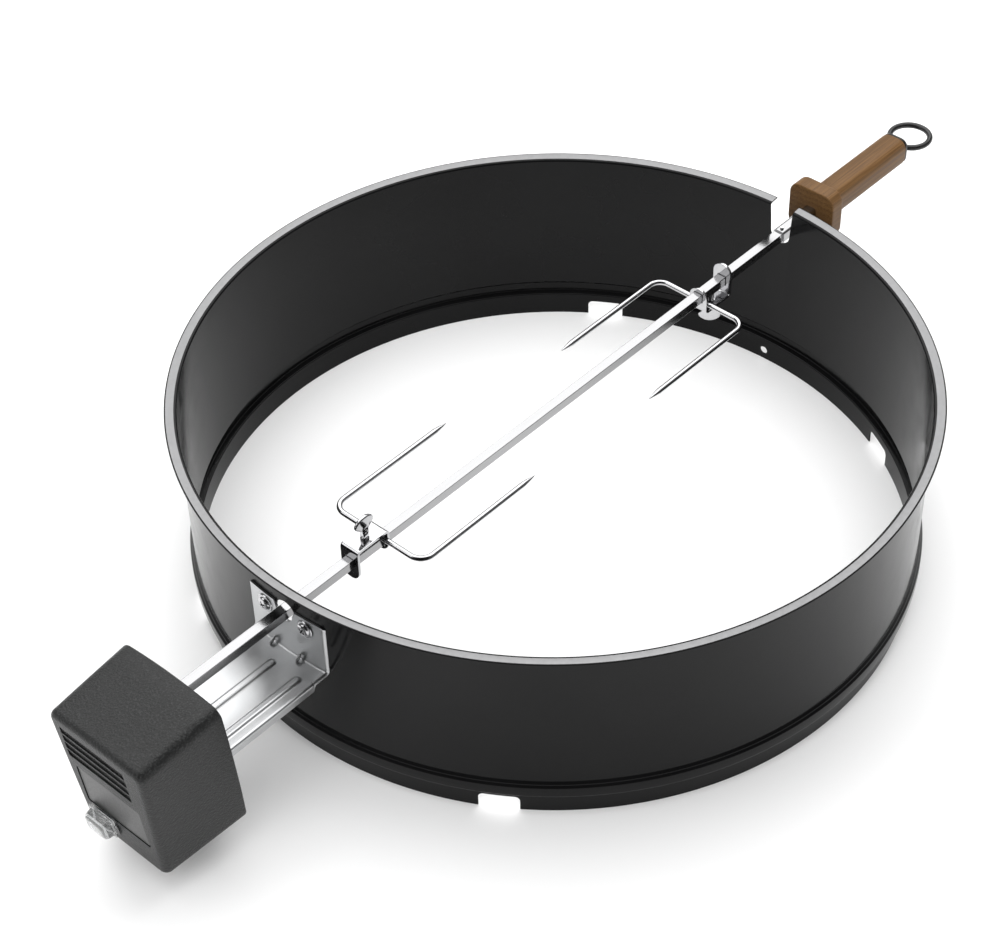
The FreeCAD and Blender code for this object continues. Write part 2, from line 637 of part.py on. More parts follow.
def add_teeth(body, teeth, offset, length, phase):
    """A toothed wheel on the body's X axis, from offset towards +X, with its first tooth at a phase."""
    pitch_radius = s.gear_module * teeth / 2
    root = pitch_radius - s.gear_module * 1.15
    tip = pitch_radius + s.gear_module * 0.9
    disc = new_sketch(body, "YZ_Plane", offset)
    add_circle(disc, root)
    pad(body, disc, length)
    tooth = new_sketch(body, "YZ_Plane", offset, FreeCAD.Rotation(VEC(0, 0, 1), phase))
    foot, head = s.gear_module * 0.75, s.gear_module * 0.28
    add_outline(tooth, [(root - 0.4, -foot), (tip, -head), (tip, head), (root - 0.4, foot)])
    solid = pad(body, tooth, length)
    pattern = body.newObject("PartDesign::PolarPattern", body.Name + "_teeth")
    pattern.Originals = [solid]
    pattern.Axis = (tooth, ["N_Axis"])
    pattern.Angle = 360
    pattern.Occurrences = teeth
    body.Tip = pattern
    return root


def mesh_phase(phase, teeth, other_teeth, direction):
    """Phase of the other wheel so that its gap faces this wheel's tooth across the direction."""
    pitch, other_pitch = 360.0 / teeth, 360.0 / other_teeth
    return other_pitch * (0.5 - (phase - direction) / pitch) + direction + 180


def make_gears():
    """Output gear with the drive socket, two compound gears, and the motor's pinion."""
    down = -90.0
    height = s.spit_height
    width = s.gear_width
    step = s.mesh_distance
    output = new_body("output_gear")
    add_teeth(output, BIG_TEETH, s.output_layer, width, 0.0)
    bore = new_sketch(output, "YZ_Plane", s.output_layer - 1)
    add_circle(bore, s.hub_radius)
    pocket(output, bore, width + 2, backwards=True)
    place(output, 0, 0, height)

    socket = new_body("drive_socket")
    hub = new_sketch(socket, "YZ_Plane", s.output_layer - 2)
    add_circle(hub, s.hub_radius)
    add_outline(hub, box_corners(s.socket_bore, s.socket_bore, 0.4))
    pad(socket, hub, 16.5)
    place(socket, 0, 0, height)

    axes = {"second": (0, height - step), "first": (0, height - step * 2)}
    layers = {"second": (s.output_layer, s.second_layer), "first": (s.second_layer, s.first_layer)}
    phase, wheel = 0.0, BIG_TEETH
    for name in ("second", "first"):
        body = new_body(name + "_gear")
        pinion_layer, wheel_layer = layers[name]
        pinion_phase = mesh_phase(phase, wheel, SMALL_TEETH, down)
        add_teeth(body, BIG_TEETH, wheel_layer, width - 0.5, 0.0)
        add_teeth(body, SMALL_TEETH, wheel_layer + width - 1, width + 2.5, pinion_phase)
        bore = new_sketch(body, "YZ_Plane", wheel_layer - 1)
        add_circle(bore, s.gear_bore)
        pocket(body, bore, pinion_layer - wheel_layer + width + 4, backwards=True)
        place(body, 0, axes[name][0], axes[name][1])
    last_y, last_z = axes["first"]
    motor_way = math.degrees(math.atan2(s.rotor_height.value - last_z.value, s.rotor_side.value - last_y))
    pinion = new_body("motor_pinion")
    add_teeth(pinion, SMALL_TEETH, s.first_layer - 0.5, width + 1,
              mesh_phase(0.0, BIG_TEETH, SMALL_TEETH, motor_way))
    bore = new_sketch(pinion, "YZ_Plane", s.first_layer - 2)
    add_circle(bore, s.shaft_radius + 0.02)
    pocket(pinion, bore, width + 5, backwards=True)
    place(pinion, 0, s.rotor_side, s.rotor_height)


def make_gear_frame():
    """Two plates, posts, gear pins and the output bush."""
    posts = [(17, 138), (-17, 138), (17, 86), (-29, 116)]
    axes = [s.spit_height - s.mesh_distance, s.spit_height - s.mesh_distance * 2]
    plate_back = s.plate_face - s.plate_thick

    plate = new_body("motor_plate")
    outline = new_sketch(plate, "YZ_Plane", plate_back)
    add_outline(outline, box_corners(84, 104, 6, 0, 94))
    pad(plate, outline, s.plate_thick)
    holes = new_sketch(plate, "YZ_Plane", s.plate_face + 1)
    add_circle(holes, s.hub_radius + 1.5, 0, s.spit_height)
    for sign in (-1, 1):
        for z in (s.hanger_screw_low, s.hanger_screw_high):
            add_circle(holes, s.clear_hole, s.hanger_screw_side * sign, z)
    for side, z in boss_places():
        add_circle(holes, s.boss_bore + 0.2, side, z)
    for z in axes:
        add_circle(holes, s.pin_radius + 0.02, 0, z)
    pocket(plate, holes, s.plate_thick + 2)

    cage = new_body("cage_plate")
    outline = new_sketch(cage, "YZ_Plane", s.cage_face)
    add_outline(outline, [(-36, 81, 4), (22, 81, 4), (22, 143, 4), (-23, 143, 4), (-23, 126, 3), (-36, 120, 3)])
    pad(cage, outline, s.plate_thick)
    holes = new_sketch(cage, "YZ_Plane", s.cage_face - 1)
    add_circle(holes, s.shaft_radius + 1.5, s.rotor_side, s.rotor_height)
    for sign in (-1, 1):
        add_circle(holes, s.screw_shank + 0.05, s.rotor_side + s.core_screw_side * sign, s.rotor_height)
    for z in axes:
        add_circle(holes, s.pin_radius + 0.02, 0, z)
    pocket(cage, holes, s.plate_thick + 2, backwards=True)

    cage_front = s.cage_face + s.plate_thick
    group("gear_posts", [cylinder(s.post_radius, plate_back - cage_front, cage_front, y, z, ALONG_X)
                         for y, z in posts])
    group("gear_pins", [cylinder(s.pin_radius, s.plate_face - s.cage_face, s.cage_face, 0, z, ALONG_X)
                        for z in axes])

    bush = new_body("output_bush")
    profile = new_sketch(bush, "XZ_Plane")
    inner, outer = s.hub_radius + 0.05, s.hub_radius + 1.48
    add_outline(profile, [(-1.2, inner), (s.plate_thick + 0.6, inner), (s.plate_thick + 0.6, outer),
                          (0, outer), (0, outer + 1.2), (-1.2, outer + 1.2)])
    turn_profile(bush, profile, "H_Axis")
    place(bush, plate_back, 0, s.spit_height)


def make_motor():
    """Shaded-pole motor: core, coil, rotor, shaft, bearings and the screws that hold it."""
    y, z = s.rotor_side, s.rotor_height
    back = s.core_face - s.core_depth
    core = new_body("motor_core")
    outline = new_sketch(core, "YZ_Plane", back)
    add_outline(outline, box_corners(
        s.core_half * 2, s.core_top - s.core_foot, 3, y, (s.core_top + s.core_foot) / 2))
    pad(core, outline, s.core_depth)
    openings = new_sketch(core, "YZ_Plane", back - 1)
    add_circle(openings, s.core_bore, y, z)
    add_outline(openings, box_corners(s.coil_half * 2 + 2, 9.5, 1, y, s.core_foot + 12.5))
    for sign in (-1, 1):
        add_circle(openings, s.screw_shank + 0.1, y + s.core_screw_side * sign, z)
    pocket(core, openings, s.core_depth + 2, backwards=True)

    coil = new_body("motor_coil")
    outline = new_sketch(coil, "XZ_Plane")
    centre = s.core_face - s.core_depth / 2
    limb = s.core_foot + 3.9
    add_outline(outline, box_corners(s.core_depth + 5.6, 23, 4, centre, limb + 0.1))
    add_outline(outline, box_corners(s.core_depth + 0.4, 8.2, 0.5, centre, limb))
    pad(coil, outline, s.coil_half * 2, symmetric=True)
    place(coil, 0, y, 0)

    rotor = cut(cylinder(s.rotor_radius, 14, back + 1, y, z, ALONG_X),
                cylinder(s.shaft_radius, 20, back - 2, y, z, ALONG_X))
    node(rotor, "motor_rotor")
    shaft = cylinder(s.shaft_radius, 34.2, s.cage_face - 23.5, y, z, ALONG_X)
    node(shaft, "rotor_shaft")

    legs = [block(3.4, 6, 10, x=back - 1.7, y=y + s.core_screw_side * sign, z=z - 5) for sign in (-1, 1)]
    bar = block(1.5, 46, 12, x=back - 3.65, y=y, z=z - 6)
    drills = [cylinder(s.screw_shank + 0.1, 8, back - 6, y + s.core_screw_side * sign, z, ALONG_X)
              for sign in (-1, 1)]
    drills.append(cylinder(s.shaft_radius + 1.5, 4, back - 5, y, z, ALONG_X))
    node(cut(fuse(bar, *legs), *drills), "rotor_bridge")

    bushes = []
    for x, length in ((back - 4.4, 2.6), (s.cage_face - 0.6, 2.8)):
        bushes.append(cut(cylinder(s.shaft_radius + 1.5, length, x, y, z, ALONG_X),
                          cylinder(s.shaft_radius + 0.05, length + 2, x - 1, y, z, ALONG_X)))
    group("rotor_bushes", bushes)

    screws, spacers = [], []
    for sign in (-1, 1):
        side = y + s.core_screw_side * sign
        head = cylinder(3.2, 1.4, back - 5.8, side, z, ALONG_X)
        shank = cylinder(s.screw_shank, 24, back - 4.5, side, z, ALONG_X)
        screws.append(fuse(head, shank))
        spacers.append(cut(cylinder(3.5, 1.9, s.core_face + 0.05, side, z, ALONG_X),
                           cylinder(s.screw_shank + 0.1, 4, s.core_face - 1, side, z, ALONG_X)))
    group("core_screws", screws)
    group("core_spacers", spacers)


# ---------------------------------------------------------------- spit and handle

def make_spit():
    """Square bar, its bearing bush with a grub screw, handle, end cap and hanging ring."""
    height = s.spit_height
    rod = new_body("spit_rod")
    start = s.spit_tip + s.spit_point
    section = new_sketch(rod, "YZ_Plane", start)
    add_outline(section, box_corners(s.spit_side, s.spit_side, s.spit_edge))
    pad(rod, section, s.guard_face + 96 - start)
    base = new_sketch(rod, "YZ_Plane", start)
    add_outline(base, box_corners(s.spit_side, s.spit_side, s.spit_edge))
    tip = new_sketch(rod, "YZ_Plane", s.spit_tip)
    add_outline(tip, box_corners(s.spit_side * 0.4, s.spit_side * 0.4, s.spit_edge * 0.4))
    point = rod.newObject("PartDesign::AdditiveLoft", "spit_point")
    point.Profile = tip
    point.Sections = [base]
    tail = new_sketch(rod, "YZ_Plane", s.guard_face + 95)
    add_circle(tail, s.rod_end)
    pad(rod, tail, s.grip_end + s.cap_thick - s.guard_face - 95.5)
    place(rod, 0, 0, height)

    bush = new_body("spit_bush")
    section = new_sketch(bush, "YZ_Plane", s.bush_start)
    add_outline(section, box_corners(s.bush_side, s.bush_side, 3))
    add_outline(section, box_corners(s.bush_bore, s.bush_bore, 0.6))
    pad(bush, section, s.guard_face - s.bush_start)
    drill = new_sketch(bush, "XY_Plane", 20)
    add_circle(drill, s.bush_screw_radius + 0.05, s.bush_start + 4, 0)
    pocket(bush, drill, 18)
    place(bush, 0, 0, height)
    grub = cylinder(s.bush_screw_radius, 2.9, s.bush_start + 4, 0, height + s.spit_side / 2 + 0.05)
    node(grub, "bush_screw")

    grip = new_body("handle_grip")
    guard = new_sketch(grip, "YZ_Plane", s.guard_face)
    add_outline(guard, box_corners(s.guard_side, s.guard_side, s.guard_round))
    plate = pad(grip, guard, s.guard_thick)
    round_edges(grip, plate, 1.2, lambda edge: edge.BoundBox.XLength < 0.01)
    shaft = new_sketch(grip, "YZ_Plane", s.guard_face + 5)
    add_outline(shaft, box_corners(s.grip_side, s.grip_side, s.grip_round))
    stick = pad(grip, shaft, s.grip_end - s.guard_face - 5)
    round_edges(grip, stick, 0.8, lambda edge: edge.BoundBox.XMin > s.grip_end.value - 0.01)
    bore = new_sketch(grip, "YZ_Plane", s.guard_face - 1)
    add_circle(bore, s.rod_bore)
    pocket(grip, bore, 98, backwards=True)
    drill = new_sketch(grip, "YZ_Plane", s.guard_face - 1)
    add_circle(drill, s.rod_end + 0.1)
    pocket(grip, drill, 130, backwards=True)
    place(grip, 0, 0, height)

    cap = new_body("handle_end_cap")
    disc = new_sketch(cap, "YZ_Plane", s.grip_end)
    add_outline(disc, box_corners(s.cap_side, s.cap_side, s.grip_round - 0.3))
    pad(cap, disc, s.cap_thick)
    eye = new_sketch(cap, "XZ_Plane")
    root = s.grip_end + s.cap_thick
    add_outline(eye, [(root - 1, -s.eye_half), (root + s.eye_length, -s.eye_half, 4.5),
                      (root + s.eye_length, s.eye_half, 4.5), (root - 1, s.eye_half)])
    pad(cap, eye, s.eye_thick, symmetric=True)
    hole = new_sketch(cap, "XZ_Plane")
    add_circle(hole, s.eye_bore, root + s.eye_reach, 0)
    pocket(cap, hole, s.eye_thick + 2, symmetric=True)
    drill = new_sketch(cap, "YZ_Plane", s.grip_end - 1)
    add_circle(drill, s.rod_end + 0.1)
    pocket(cap, drill, s.cap_thick + 1, backwards=True)
    place(cap, 0, 0, height)

    loop = doc.addObject("Part::Torus", "hanging_ring")
    bind(loop, "Radius1", s.loop_radius)
    bind(loop, "Radius2", s.loop_wire)
    node(place(loop, root + s.eye_reach + s.loop_radius, 0, height), "hanging_ring")


# ---------------------------------------------------------------- forks

def fork_placement(item, fork):
    """Fork a stands upright, its prongs towards +X; fork b is turned half round the spit's upright."""
    if fork == "a":
        return place(item, s.fork_a, 0, s.spit_height)
    return place(item, s.fork_b, 0, s.spit_height, FreeCAD.Rotation(VEC(0, 1, 0), 180))


def make_fork(fork):
    """A channel bracket on the bar, a two-prong wire welded inside it, and a thumbscrew."""
    half = s.fork_length / 2
    bracket = new_body("fork_bracket_" + fork)
    section = new_sketch(bracket, "YZ_Plane", -half)
    wide = s.fork_width / 2
    add_outline(section, [
        (-wide, s.web_height), (-wide, -s.ear_drop - wide, wide - 0.05),
        (wide, -s.ear_drop - wide, wide - 0.05),
        (wide, s.web_height)])
    shell = pad(bracket, section, s.fork_length)
    round_edges(bracket, shell, 2.5, lambda edge: (
        edge.BoundBox.ZMin > s.web_height.value - 0.01 and edge.BoundBox.XLength < 0.01))
    hollow = new_sketch(bracket, "XZ_Plane")
    inner = half - s.fork_sheet
    ceiling = s.web_height - s.fork_sheet
    add_outline(hollow, [(-inner, -30), (inner, -30), (inner, ceiling, 1), (-inner, ceiling, 1)])
    pocket(bracket, hollow, s.fork_width + 4, symmetric=True)
    bores = new_sketch(bracket, "YZ_Plane")
    add_outline(bores, box_corners(s.fork_bore, s.fork_bore, 0.8))
    pocket(bracket, bores, s.fork_length + 4, symmetric=True)
    thread = new_sketch(bracket, "XY_Plane", s.web_height + 2)
    add_circle(thread, s.screw_bore)
    pocket(bracket, thread, 6)
    fork_placement(bracket, fork)

    wire, bend = s.prong_wire, s.prong_bend
    reach = s.prong_half - bend
    pieces = [cylinder(wire, reach * 2, s.prong_cross, -reach, s.prong_height, ALONG_Y)]
    for sign in (-1, 1):
        elbow = doc.addObject("Part::Torus", "elbow")
        bind(elbow, "Radius1", bend)
        bind(elbow, "Radius2", wire)
        elbow.Angle3 = 90
        spin = FreeCAD.Rotation(VEC(0, 0, 1), 90 if sign > 0 else 180)
        pieces.append(place(elbow, s.prong_cross + bend, reach * sign, s.prong_height, spin))
        straight = s.prong_reach - bend - s.prong_point
        pieces.append(cylinder(wire, straight, s.prong_cross + bend, s.prong_half * sign,
                               s.prong_height, ALONG_X))
        point = doc.addObject("Part::Cone", "point")
        bind(point, "Radius1", wire)
        bind(point, "Radius2", wire / 10)
        bind(point, "Height", s.prong_point)
        pieces.append(place(point, s.prong_cross + bend + straight, s.prong_half * sign,
                            s.prong_height, ALONG_X))
    fork_placement(node(fuse(*pieces), "fork_prongs_" + fork), fork)

    low = s.spit_side / 2 + 0.05
    shank = cylinder(s.screw_radius, s.spade_height - low, 0, 0, low)
    neck = doc.addObject("Part::Cone", "neck")
    bind(neck, "Radius1", s.screw_radius)
    bind(neck, "Radius2", s.screw_radius + 1.6)
    bind(neck, "Height", 3)
    place(neck, 0, 0, s.spade_height - s.spade_radius - 1.2)
    disc = cylinder(s.spade_radius, s.spade_thick, 0, -s.spade_thick / 2, s.spade_height, ALONG_Y)
    spade = doc.addObject("Part::Fillet", "spade")
    spade.Base = disc
    doc.recompute()
    rims = [i for i, edge in enumerate(disc.Shape.Edges) if edge.Closed]
    spade.Edges = [(i + 1, 1.1, 1.1) for i in rims]
    trim = block(30, s.spade_thick + 8, 10, z=s.web_height + 0.6 - 10)
    blade = cut(spade, trim)
    screw = node(fuse(shank, neck, blade), "thumbscrew_" + fork)
    fork_placement(screw, fork)
    turn = FreeCAD.Rotation(VEC(0, 0, 1), SPADE_TURN[fork])
    screw.Placement = FreeCAD.Placement(screw.Placement.Base, turn * screw.Placement.Rotation)


make_ring()
make_bracket()
make_bracket_fasteners()
make_hanger_fasteners()
make_cover()
make_cover_fittings()
make_switch()
make_gears()
make_gear_frame()
make_motor()
make_spit()
for fork_name in ("a", "b"):
    make_fork(fork_name)
doc.recompute()

faults = [item.Name + ": " + ", ".join(item.State) for item in doc.Objects
          if "Invalid" in item.State or "Error" in item.State]
faults += [item.Label + ": bad shape" for item in nodes if item.Shape.isNull() or not item.Shape.isValid()]
if faults:
    raise SystemExit("\n".join(faults))

os.makedirs("parts", exist_ok=True)
for item in nodes:
    item.Shape.exportStep(os.path.join("parts", item.Label + ".step"))
    print("%-18s %9.0f mm3, %d solid(s)" % (item.Label, item.Shape.Volume, len(item.Shape.Solids)))
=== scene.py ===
import json
import math
import bmesh
import bpy
from mathutils import Matrix, Vector


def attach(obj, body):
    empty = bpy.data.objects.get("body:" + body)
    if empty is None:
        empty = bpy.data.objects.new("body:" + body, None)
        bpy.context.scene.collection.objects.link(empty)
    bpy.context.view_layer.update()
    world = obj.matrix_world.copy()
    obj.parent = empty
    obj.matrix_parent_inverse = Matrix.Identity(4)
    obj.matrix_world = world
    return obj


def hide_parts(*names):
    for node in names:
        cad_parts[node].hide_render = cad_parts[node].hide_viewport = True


# Looks of the rotisserie spit roaster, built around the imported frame.  Lengths are in millimetres here,
# and become metres when a mesh is made.
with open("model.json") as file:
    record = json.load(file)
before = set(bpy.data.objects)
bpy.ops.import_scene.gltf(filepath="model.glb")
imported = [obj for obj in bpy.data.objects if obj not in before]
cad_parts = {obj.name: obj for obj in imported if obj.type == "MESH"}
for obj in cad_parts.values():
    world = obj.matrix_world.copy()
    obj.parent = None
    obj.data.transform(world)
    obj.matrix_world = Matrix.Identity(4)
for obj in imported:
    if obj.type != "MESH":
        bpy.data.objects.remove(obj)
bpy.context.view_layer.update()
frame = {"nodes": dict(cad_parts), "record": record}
nodes = frame["nodes"]
MM = 0.001
SPIT_Z = 133.0                  # height of the bar's axis
WALL_RADIUS = 281.6             # outside of the ring's wall
CLEARANCE = 2.2                 # radius of the holes the screws pass through
SHANK = 2.0                     # radius of the screws
WALL_SCREW_SIDE, WALL_SCREW_HEIGHT = 19.5, 129
HANGER_SCREW_SIDE, HANGER_SCREW_HEIGHTS = 26, (104, 140)


# ---------------------------------------------------------------- camera

def make_camera():
    camera = bpy.data.objects.new("camera", bpy.data.cameras.new("camera"))
    bpy.context.scene.collection.objects.link(camera)
    right = Vector((0.66981279, -0.74219886, -0.02217379))
    up = Vector((0.51514764, 0.44298434, 0.73374913))
    back = right.cross(up)
    camera.matrix_world = Matrix.Translation((-1.010163, -0.892130, 1.310774)) @ Matrix(
        (right, up, back)).transposed().to_4x4()
    camera.data.sensor_width = 36.0
    camera.data.lens = 85.435
    camera.data.clip_end = 50.0
    bpy.context.scene.camera = camera


make_camera()


# ---------------------------------------------------------------- materials

class Shader:
    """A node material with a few short helpers for procedural patterns."""

    def __init__(self, name, color, rough=0.5, metal=0.0, **sockets):
        self.material = bpy.data.materials.new(name)
        self.material.use_nodes = True
        self.tree = self.material.node_tree
        self.surface = self.tree.nodes["Principled BSDF"]
        self.set("Base Color", (*color, 1.0))
        self.set("Roughness", rough)
        self.set("Metallic", metal)
        for key, value in sockets.items():
            self.set(key.replace("_", " "), value)
        self.place = self.tree.nodes.new("ShaderNodeTexCoord").outputs["Object"]

    def set(self, socket, value):
        self.surface.inputs[socket].default_value = value

    def node(self, kind, **inputs):
        made = self.tree.nodes.new("ShaderNode" + kind)
        for key, value in inputs.items():
            socket = made.inputs[key.replace("_", " ")]
            if isinstance(value, bpy.types.NodeSocket):
                self.tree.links.new(value, socket)
            else:
                socket.default_value = value
        return made

    def stretched(self, scale):
        """Object coordinates, scaled per axis."""
        return self.node("Mapping", Vector=self.place, Scale=scale).outputs["Vector"]

    def noise(self, scale, detail=4.0, rough=0.5, stretch=(1, 1, 1), distortion=0.0):
        made = self.node("TexNoise", Vector=self.stretched(stretch), Scale=scale, Detail=detail,
                         Roughness=rough, Distortion=distortion)
        return made.outputs["Fac"]

    def cells(self, scale):
        """Distance to the nearest of many scattered points, without creases."""
        made = self.node("TexVoronoi", Vector=self.stretched((1, 1, 1)), Scale=scale)
        made.feature = "SMOOTH_F1"
        return made.outputs["Distance"]

    def spread(self, value, low, high, to_low=0.0, to_high=1.0):
        """Map a range of values onto another, clamped."""
        made = self.node("MapRange", Value=value)
        for key, number in (("From Min", low), ("From Max", high), ("To Min", to_low), ("To Max", to_high)):
            made.inputs[key].default_value = number
        return made.outputs["Result"]

    def ramp(self, value, stops):
        """Turn a value into a colour through (position, colour) stops."""
        made = self.node("ValToRGB", Fac=value)
        elements = made.color_ramp.elements
        while len(elements) < len(stops):
            elements.new(0.5)
        for element, (at, color) in zip(elements, stops):
            element.position = at
            element.color = (*color, 1.0)
        return made.outputs["Color"]

    def mix(self, fac, one, two, blend="MIX"):
        made = self.tree.nodes.new("ShaderNodeMix")
        made.data_type = "RGBA"
        made.blend_type = blend
        for index, value in ((0, fac), (6, one), (7, two)):     # the colour sockets of this node
            if isinstance(value, bpy.types.NodeSocket):
                self.tree.links.new(value, made.inputs[index])
            else:
                made.inputs[index].default_value = (*value, 1.0) if index else value
        return made.outputs[2]

    def math(self, operation, one, two):
        made = self.tree.nodes.new("ShaderNodeMath")
        made.operation = operation
        for socket, value in zip(made.inputs, (one, two)):
            if isinstance(value, bpy.types.NodeSocket):
                self.tree.links.new(value, socket)
            else:
                socket.default_value = value
        return made.outputs[0]

    def link(self, output, socket):
        self.tree.links.new(output, self.surface.inputs[socket])

    def bump(self, height, strength, distance):
        """Add a bump; more than one stack up."""
        made = self.node("Bump", Height=height, Strength=strength, Distance=distance)
        if self.surface.inputs["Normal"].links:
            self.tree.links.new(self.surface.inputs["Normal"].links[0].from_socket, made.inputs["Normal"])
        self.link(made.outputs["Normal"], "Normal")


def enamel():
    s = Shader("black_enamel", (0.005, 0.005, 0.005), 0.13, Specular_IOR_Level=0.14)
    flow = s.noise(9.0, 3.0, 0.55)
    s.link(s.ramp(flow, [(0.3, (0.0035, 0.0035, 0.0037)), (0.7, (0.006, 0.006, 0.0062))]), "Base Color")
    s.link(s.spread(s.noise(55.0, 4.0, 0.6), 0.3, 0.7, 0.09, 0.19), "Roughness")
    s.bump(s.noise(140.0, 2.0, 0.4), 0.035, 0.0006)
    s.bump(flow, 0.05, 0.004)
    return s.material


def rim_metal():
    s = Shader("rim_edge", (0.226, 0.226, 0.229), 0.4, 1.0)
    worn = s.noise(7.0, 3.0, 0.5)
    s.link(s.ramp(worn, [(0.3, (0.215, 0.215, 0.218)), (0.7, (0.238, 0.238, 0.241))]), "Base Color")
    s.link(s.spread(s.noise(350.0, 3.0, 0.6), 0.3, 0.7, 0.34, 0.46), "Roughness")
    s.bump(s.noise(1400.0, 2.0), 0.03, 0.0001)
    return s.material


def zinc():
    s = Shader("zinc_plate", (0.50, 0.506, 0.512), 0.34, 1.0)
    cloud = s.noise(26.0, 3.0, 0.5, (1, 1.6, 1), 0.5)
    brushed = s.noise(40.0, 4.0, 0.7, (60, 2.0, 60))
    tone = s.ramp(cloud, [(0.25, (0.45, 0.456, 0.462)), (0.5, (0.50, 0.506, 0.512)),
                          (0.78, (0.55, 0.556, 0.562))])
    lines = s.ramp(brushed, [(0.3, (0.44, 0.44, 0.44)), (0.7, (0.56, 0.56, 0.56))])
    s.link(s.mix(0.25, tone, lines, "OVERLAY"), "Base Color")
    s.link(s.spread(cloud, 0.3, 0.7, 0.29, 0.38), "Roughness")
    s.bump(brushed, 0.05, 0.0002)
    return s.material


def bright_steel(name, color, rough, along=(1.5, 60, 60), streak=0.3):
    s = Shader(name, color, rough, 1.0)
    lines = s.noise(22.0, 4.0, 0.65, along)
    low = tuple(c * (1 - streak) for c in color)
    high = tuple(min(c * (1 + streak * 0.6), 1.0) for c in color)
    s.link(s.ramp(lines, [(0.25, low), (0.5, color), (0.8, high)]), "Base Color")
    s.link(s.spread(s.noise(35.0, 5.0, 0.6), 0.3, 0.7, rough * 0.75, rough * 1.3), "Roughness")
    s.bump(lines, 0.05, 0.0002)
    return s.material


def moulded_plastic():
    s = Shader("moulded_black_plastic", (0.02, 0.02, 0.02), 0.5, Specular_IOR_Level=0.32)
    pebble = s.cells(620.0)
    grain = s.noise(760.0, 3.0, 0.75)
    fleck = s.spread(grain, 0.50, 0.72)
    ground = s.ramp(s.noise(12.0, 3.0), [(0.3, (0.006, 0.0063, 0.0063)), (0.7, (0.009, 0.0093, 0.0093))])
    s.link(s.mix(fleck, ground, (0.042, 0.043, 0.043)), "Base Color")
    s.link(s.spread(grain, 0.3, 0.7, 0.34, 0.52), "Roughness")
    s.bump(pebble, 0.5, 0.0006)
    s.bump(grain, 0.55, 0.0006)
    return s.material


def panel_film():
    s = Shader("blank_panel", (0.05, 0.05, 0.05), 0.38)
    fine = s.noise(700.0, 3.0, 0.6)
    s.link(s.ramp(fine, [(0.3, (0.022, 0.022, 0.022)), (0.7, (0.042, 0.042, 0.042))]), "Base Color")
    s.link(s.spread(fine, 0.3, 0.7, 0.3, 0.46), "Roughness")
    s.bump(fine, 0.12, 0.0002)
    return s.material


def plain_plastic(name, color, rough, scale=300.0):
    s = Shader(name, color, rough)
    fine = s.noise(scale, 4.0, 0.6)
    low, high = (tuple(c * k for c in color) for k in (0.82, 1.18))
    s.link(s.ramp(fine, [(0.3, low), (0.7, high)]), "Base Color")
    s.link(s.spread(fine, 0.3, 0.7, rough * 0.85, rough * 1.15), "Roughness")
    s.bump(fine, 0.1, 0.0002)
    return s.material


def clear_boot():
    s = Shader("clear_boot", (0.8, 0.805, 0.805), 0.1, IOR=1.44, Transmission_Weight=0.88)
    haze = s.noise(160.0, 3.0, 0.6)
    s.link(s.ramp(haze, [(0.3, (0.72, 0.73, 0.73)), (0.7, (0.84, 0.845, 0.845))]), "Base Color")
    s.link(s.spread(haze, 0.3, 0.7, 0.06, 0.14), "Roughness")
    s.bump(s.noise(60.0, 2.0), 0.06, 0.0008)
    return s.material


def wood():
    s = Shader("oiled_wood", (0.13, 0.062, 0.022), 0.45, Specular_IOR_Level=0.2)
    bend = s.noise(9.0, 2.0)
    rings = s.tree.nodes.new("ShaderNodeTexWave")
    rings.bands_direction = "Z"
    s.tree.links.new(s.stretched((1.2, 26.0, 30.0)), rings.inputs["Vector"])
    for key, number in (("Scale", 2.0), ("Distortion", 4.5), ("Detail", 3.0), ("Detail Scale", 1.2)):
        rings.inputs[key].default_value = number
    fibre = s.noise(34.0, 6.0, 0.7, (0.5, 34, 34))
    pores = s.spread(s.noise(60.0, 3.0, 0.75, (1.2, 46, 46)), 0.60, 0.68)
    tone = s.ramp(rings.outputs["Fac"], [(0.1, (0.085, 0.039, 0.013)), (0.55, (0.13, 0.062, 0.021)),
                                         (0.95, (0.165, 0.082, 0.030))])
    tone = s.mix(0.7, tone, s.ramp(fibre, [(0.34, (0.055, 0.027, 0.009)), (0.66, (0.205, 0.112, 0.042))]))
    tone = s.mix(s.math("MULTIPLY", pores, 0.55), tone, (0.045, 0.020, 0.008))
    s.link(s.mix(s.spread(bend, 0.35, 0.7, 0.0, 0.35), tone, (0.115, 0.057, 0.023)), "Base Color")
    s.link(s.spread(fibre, 0.3, 0.7, 0.38, 0.55), "Roughness")
    s.bump(fibre, 0.18, 0.0004)
    s.bump(pores, -0.2, 0.0003)
    return s.material


def floor_material():
    return Shader("studio_floor", (0.93, 0.93, 0.93), 0.9, Specular_IOR_Level=0.1).material


ENAMEL = enamel()
RIM = rim_metal()
ZINC = zinc()
SPIT = bright_steel("drawn_bar", (0.365, 0.365, 0.37), 0.16, (1.0, 90, 90), 0.05)
CHROME = bright_steel("bright_plating", (0.51, 0.51, 0.52), 0.10, (20, 20, 20), 0.08)
HOUSING = moulded_plastic()
PANEL = panel_film()
SWITCH = plain_plastic("switch_black", (0.02, 0.02, 0.02), 0.28)
BOOT = clear_boot()
WOOD = wood()
BLACK = plain_plastic("black_coating", (0.006, 0.006, 0.006), 0.3, 220.0)
RUBBER = plain_plastic("black_rubber", (0.02, 0.02, 0.02), 0.6)
ACETAL = plain_plastic("natural_acetal", (0.72, 0.71, 0.66), 0.42)
COPPER = bright_steel("enamelled_copper", (0.62, 0.28, 0.13), 0.3, (1, 1, 160), 0.5)
BRONZE = bright_steel("sintered_bronze", (0.52, 0.36, 0.17), 0.4, (20, 20, 20), 0.25)
LAMINATE = bright_steel("laminated_steel", (0.34, 0.34, 0.35), 0.42, (220, 1, 1), 0.5)
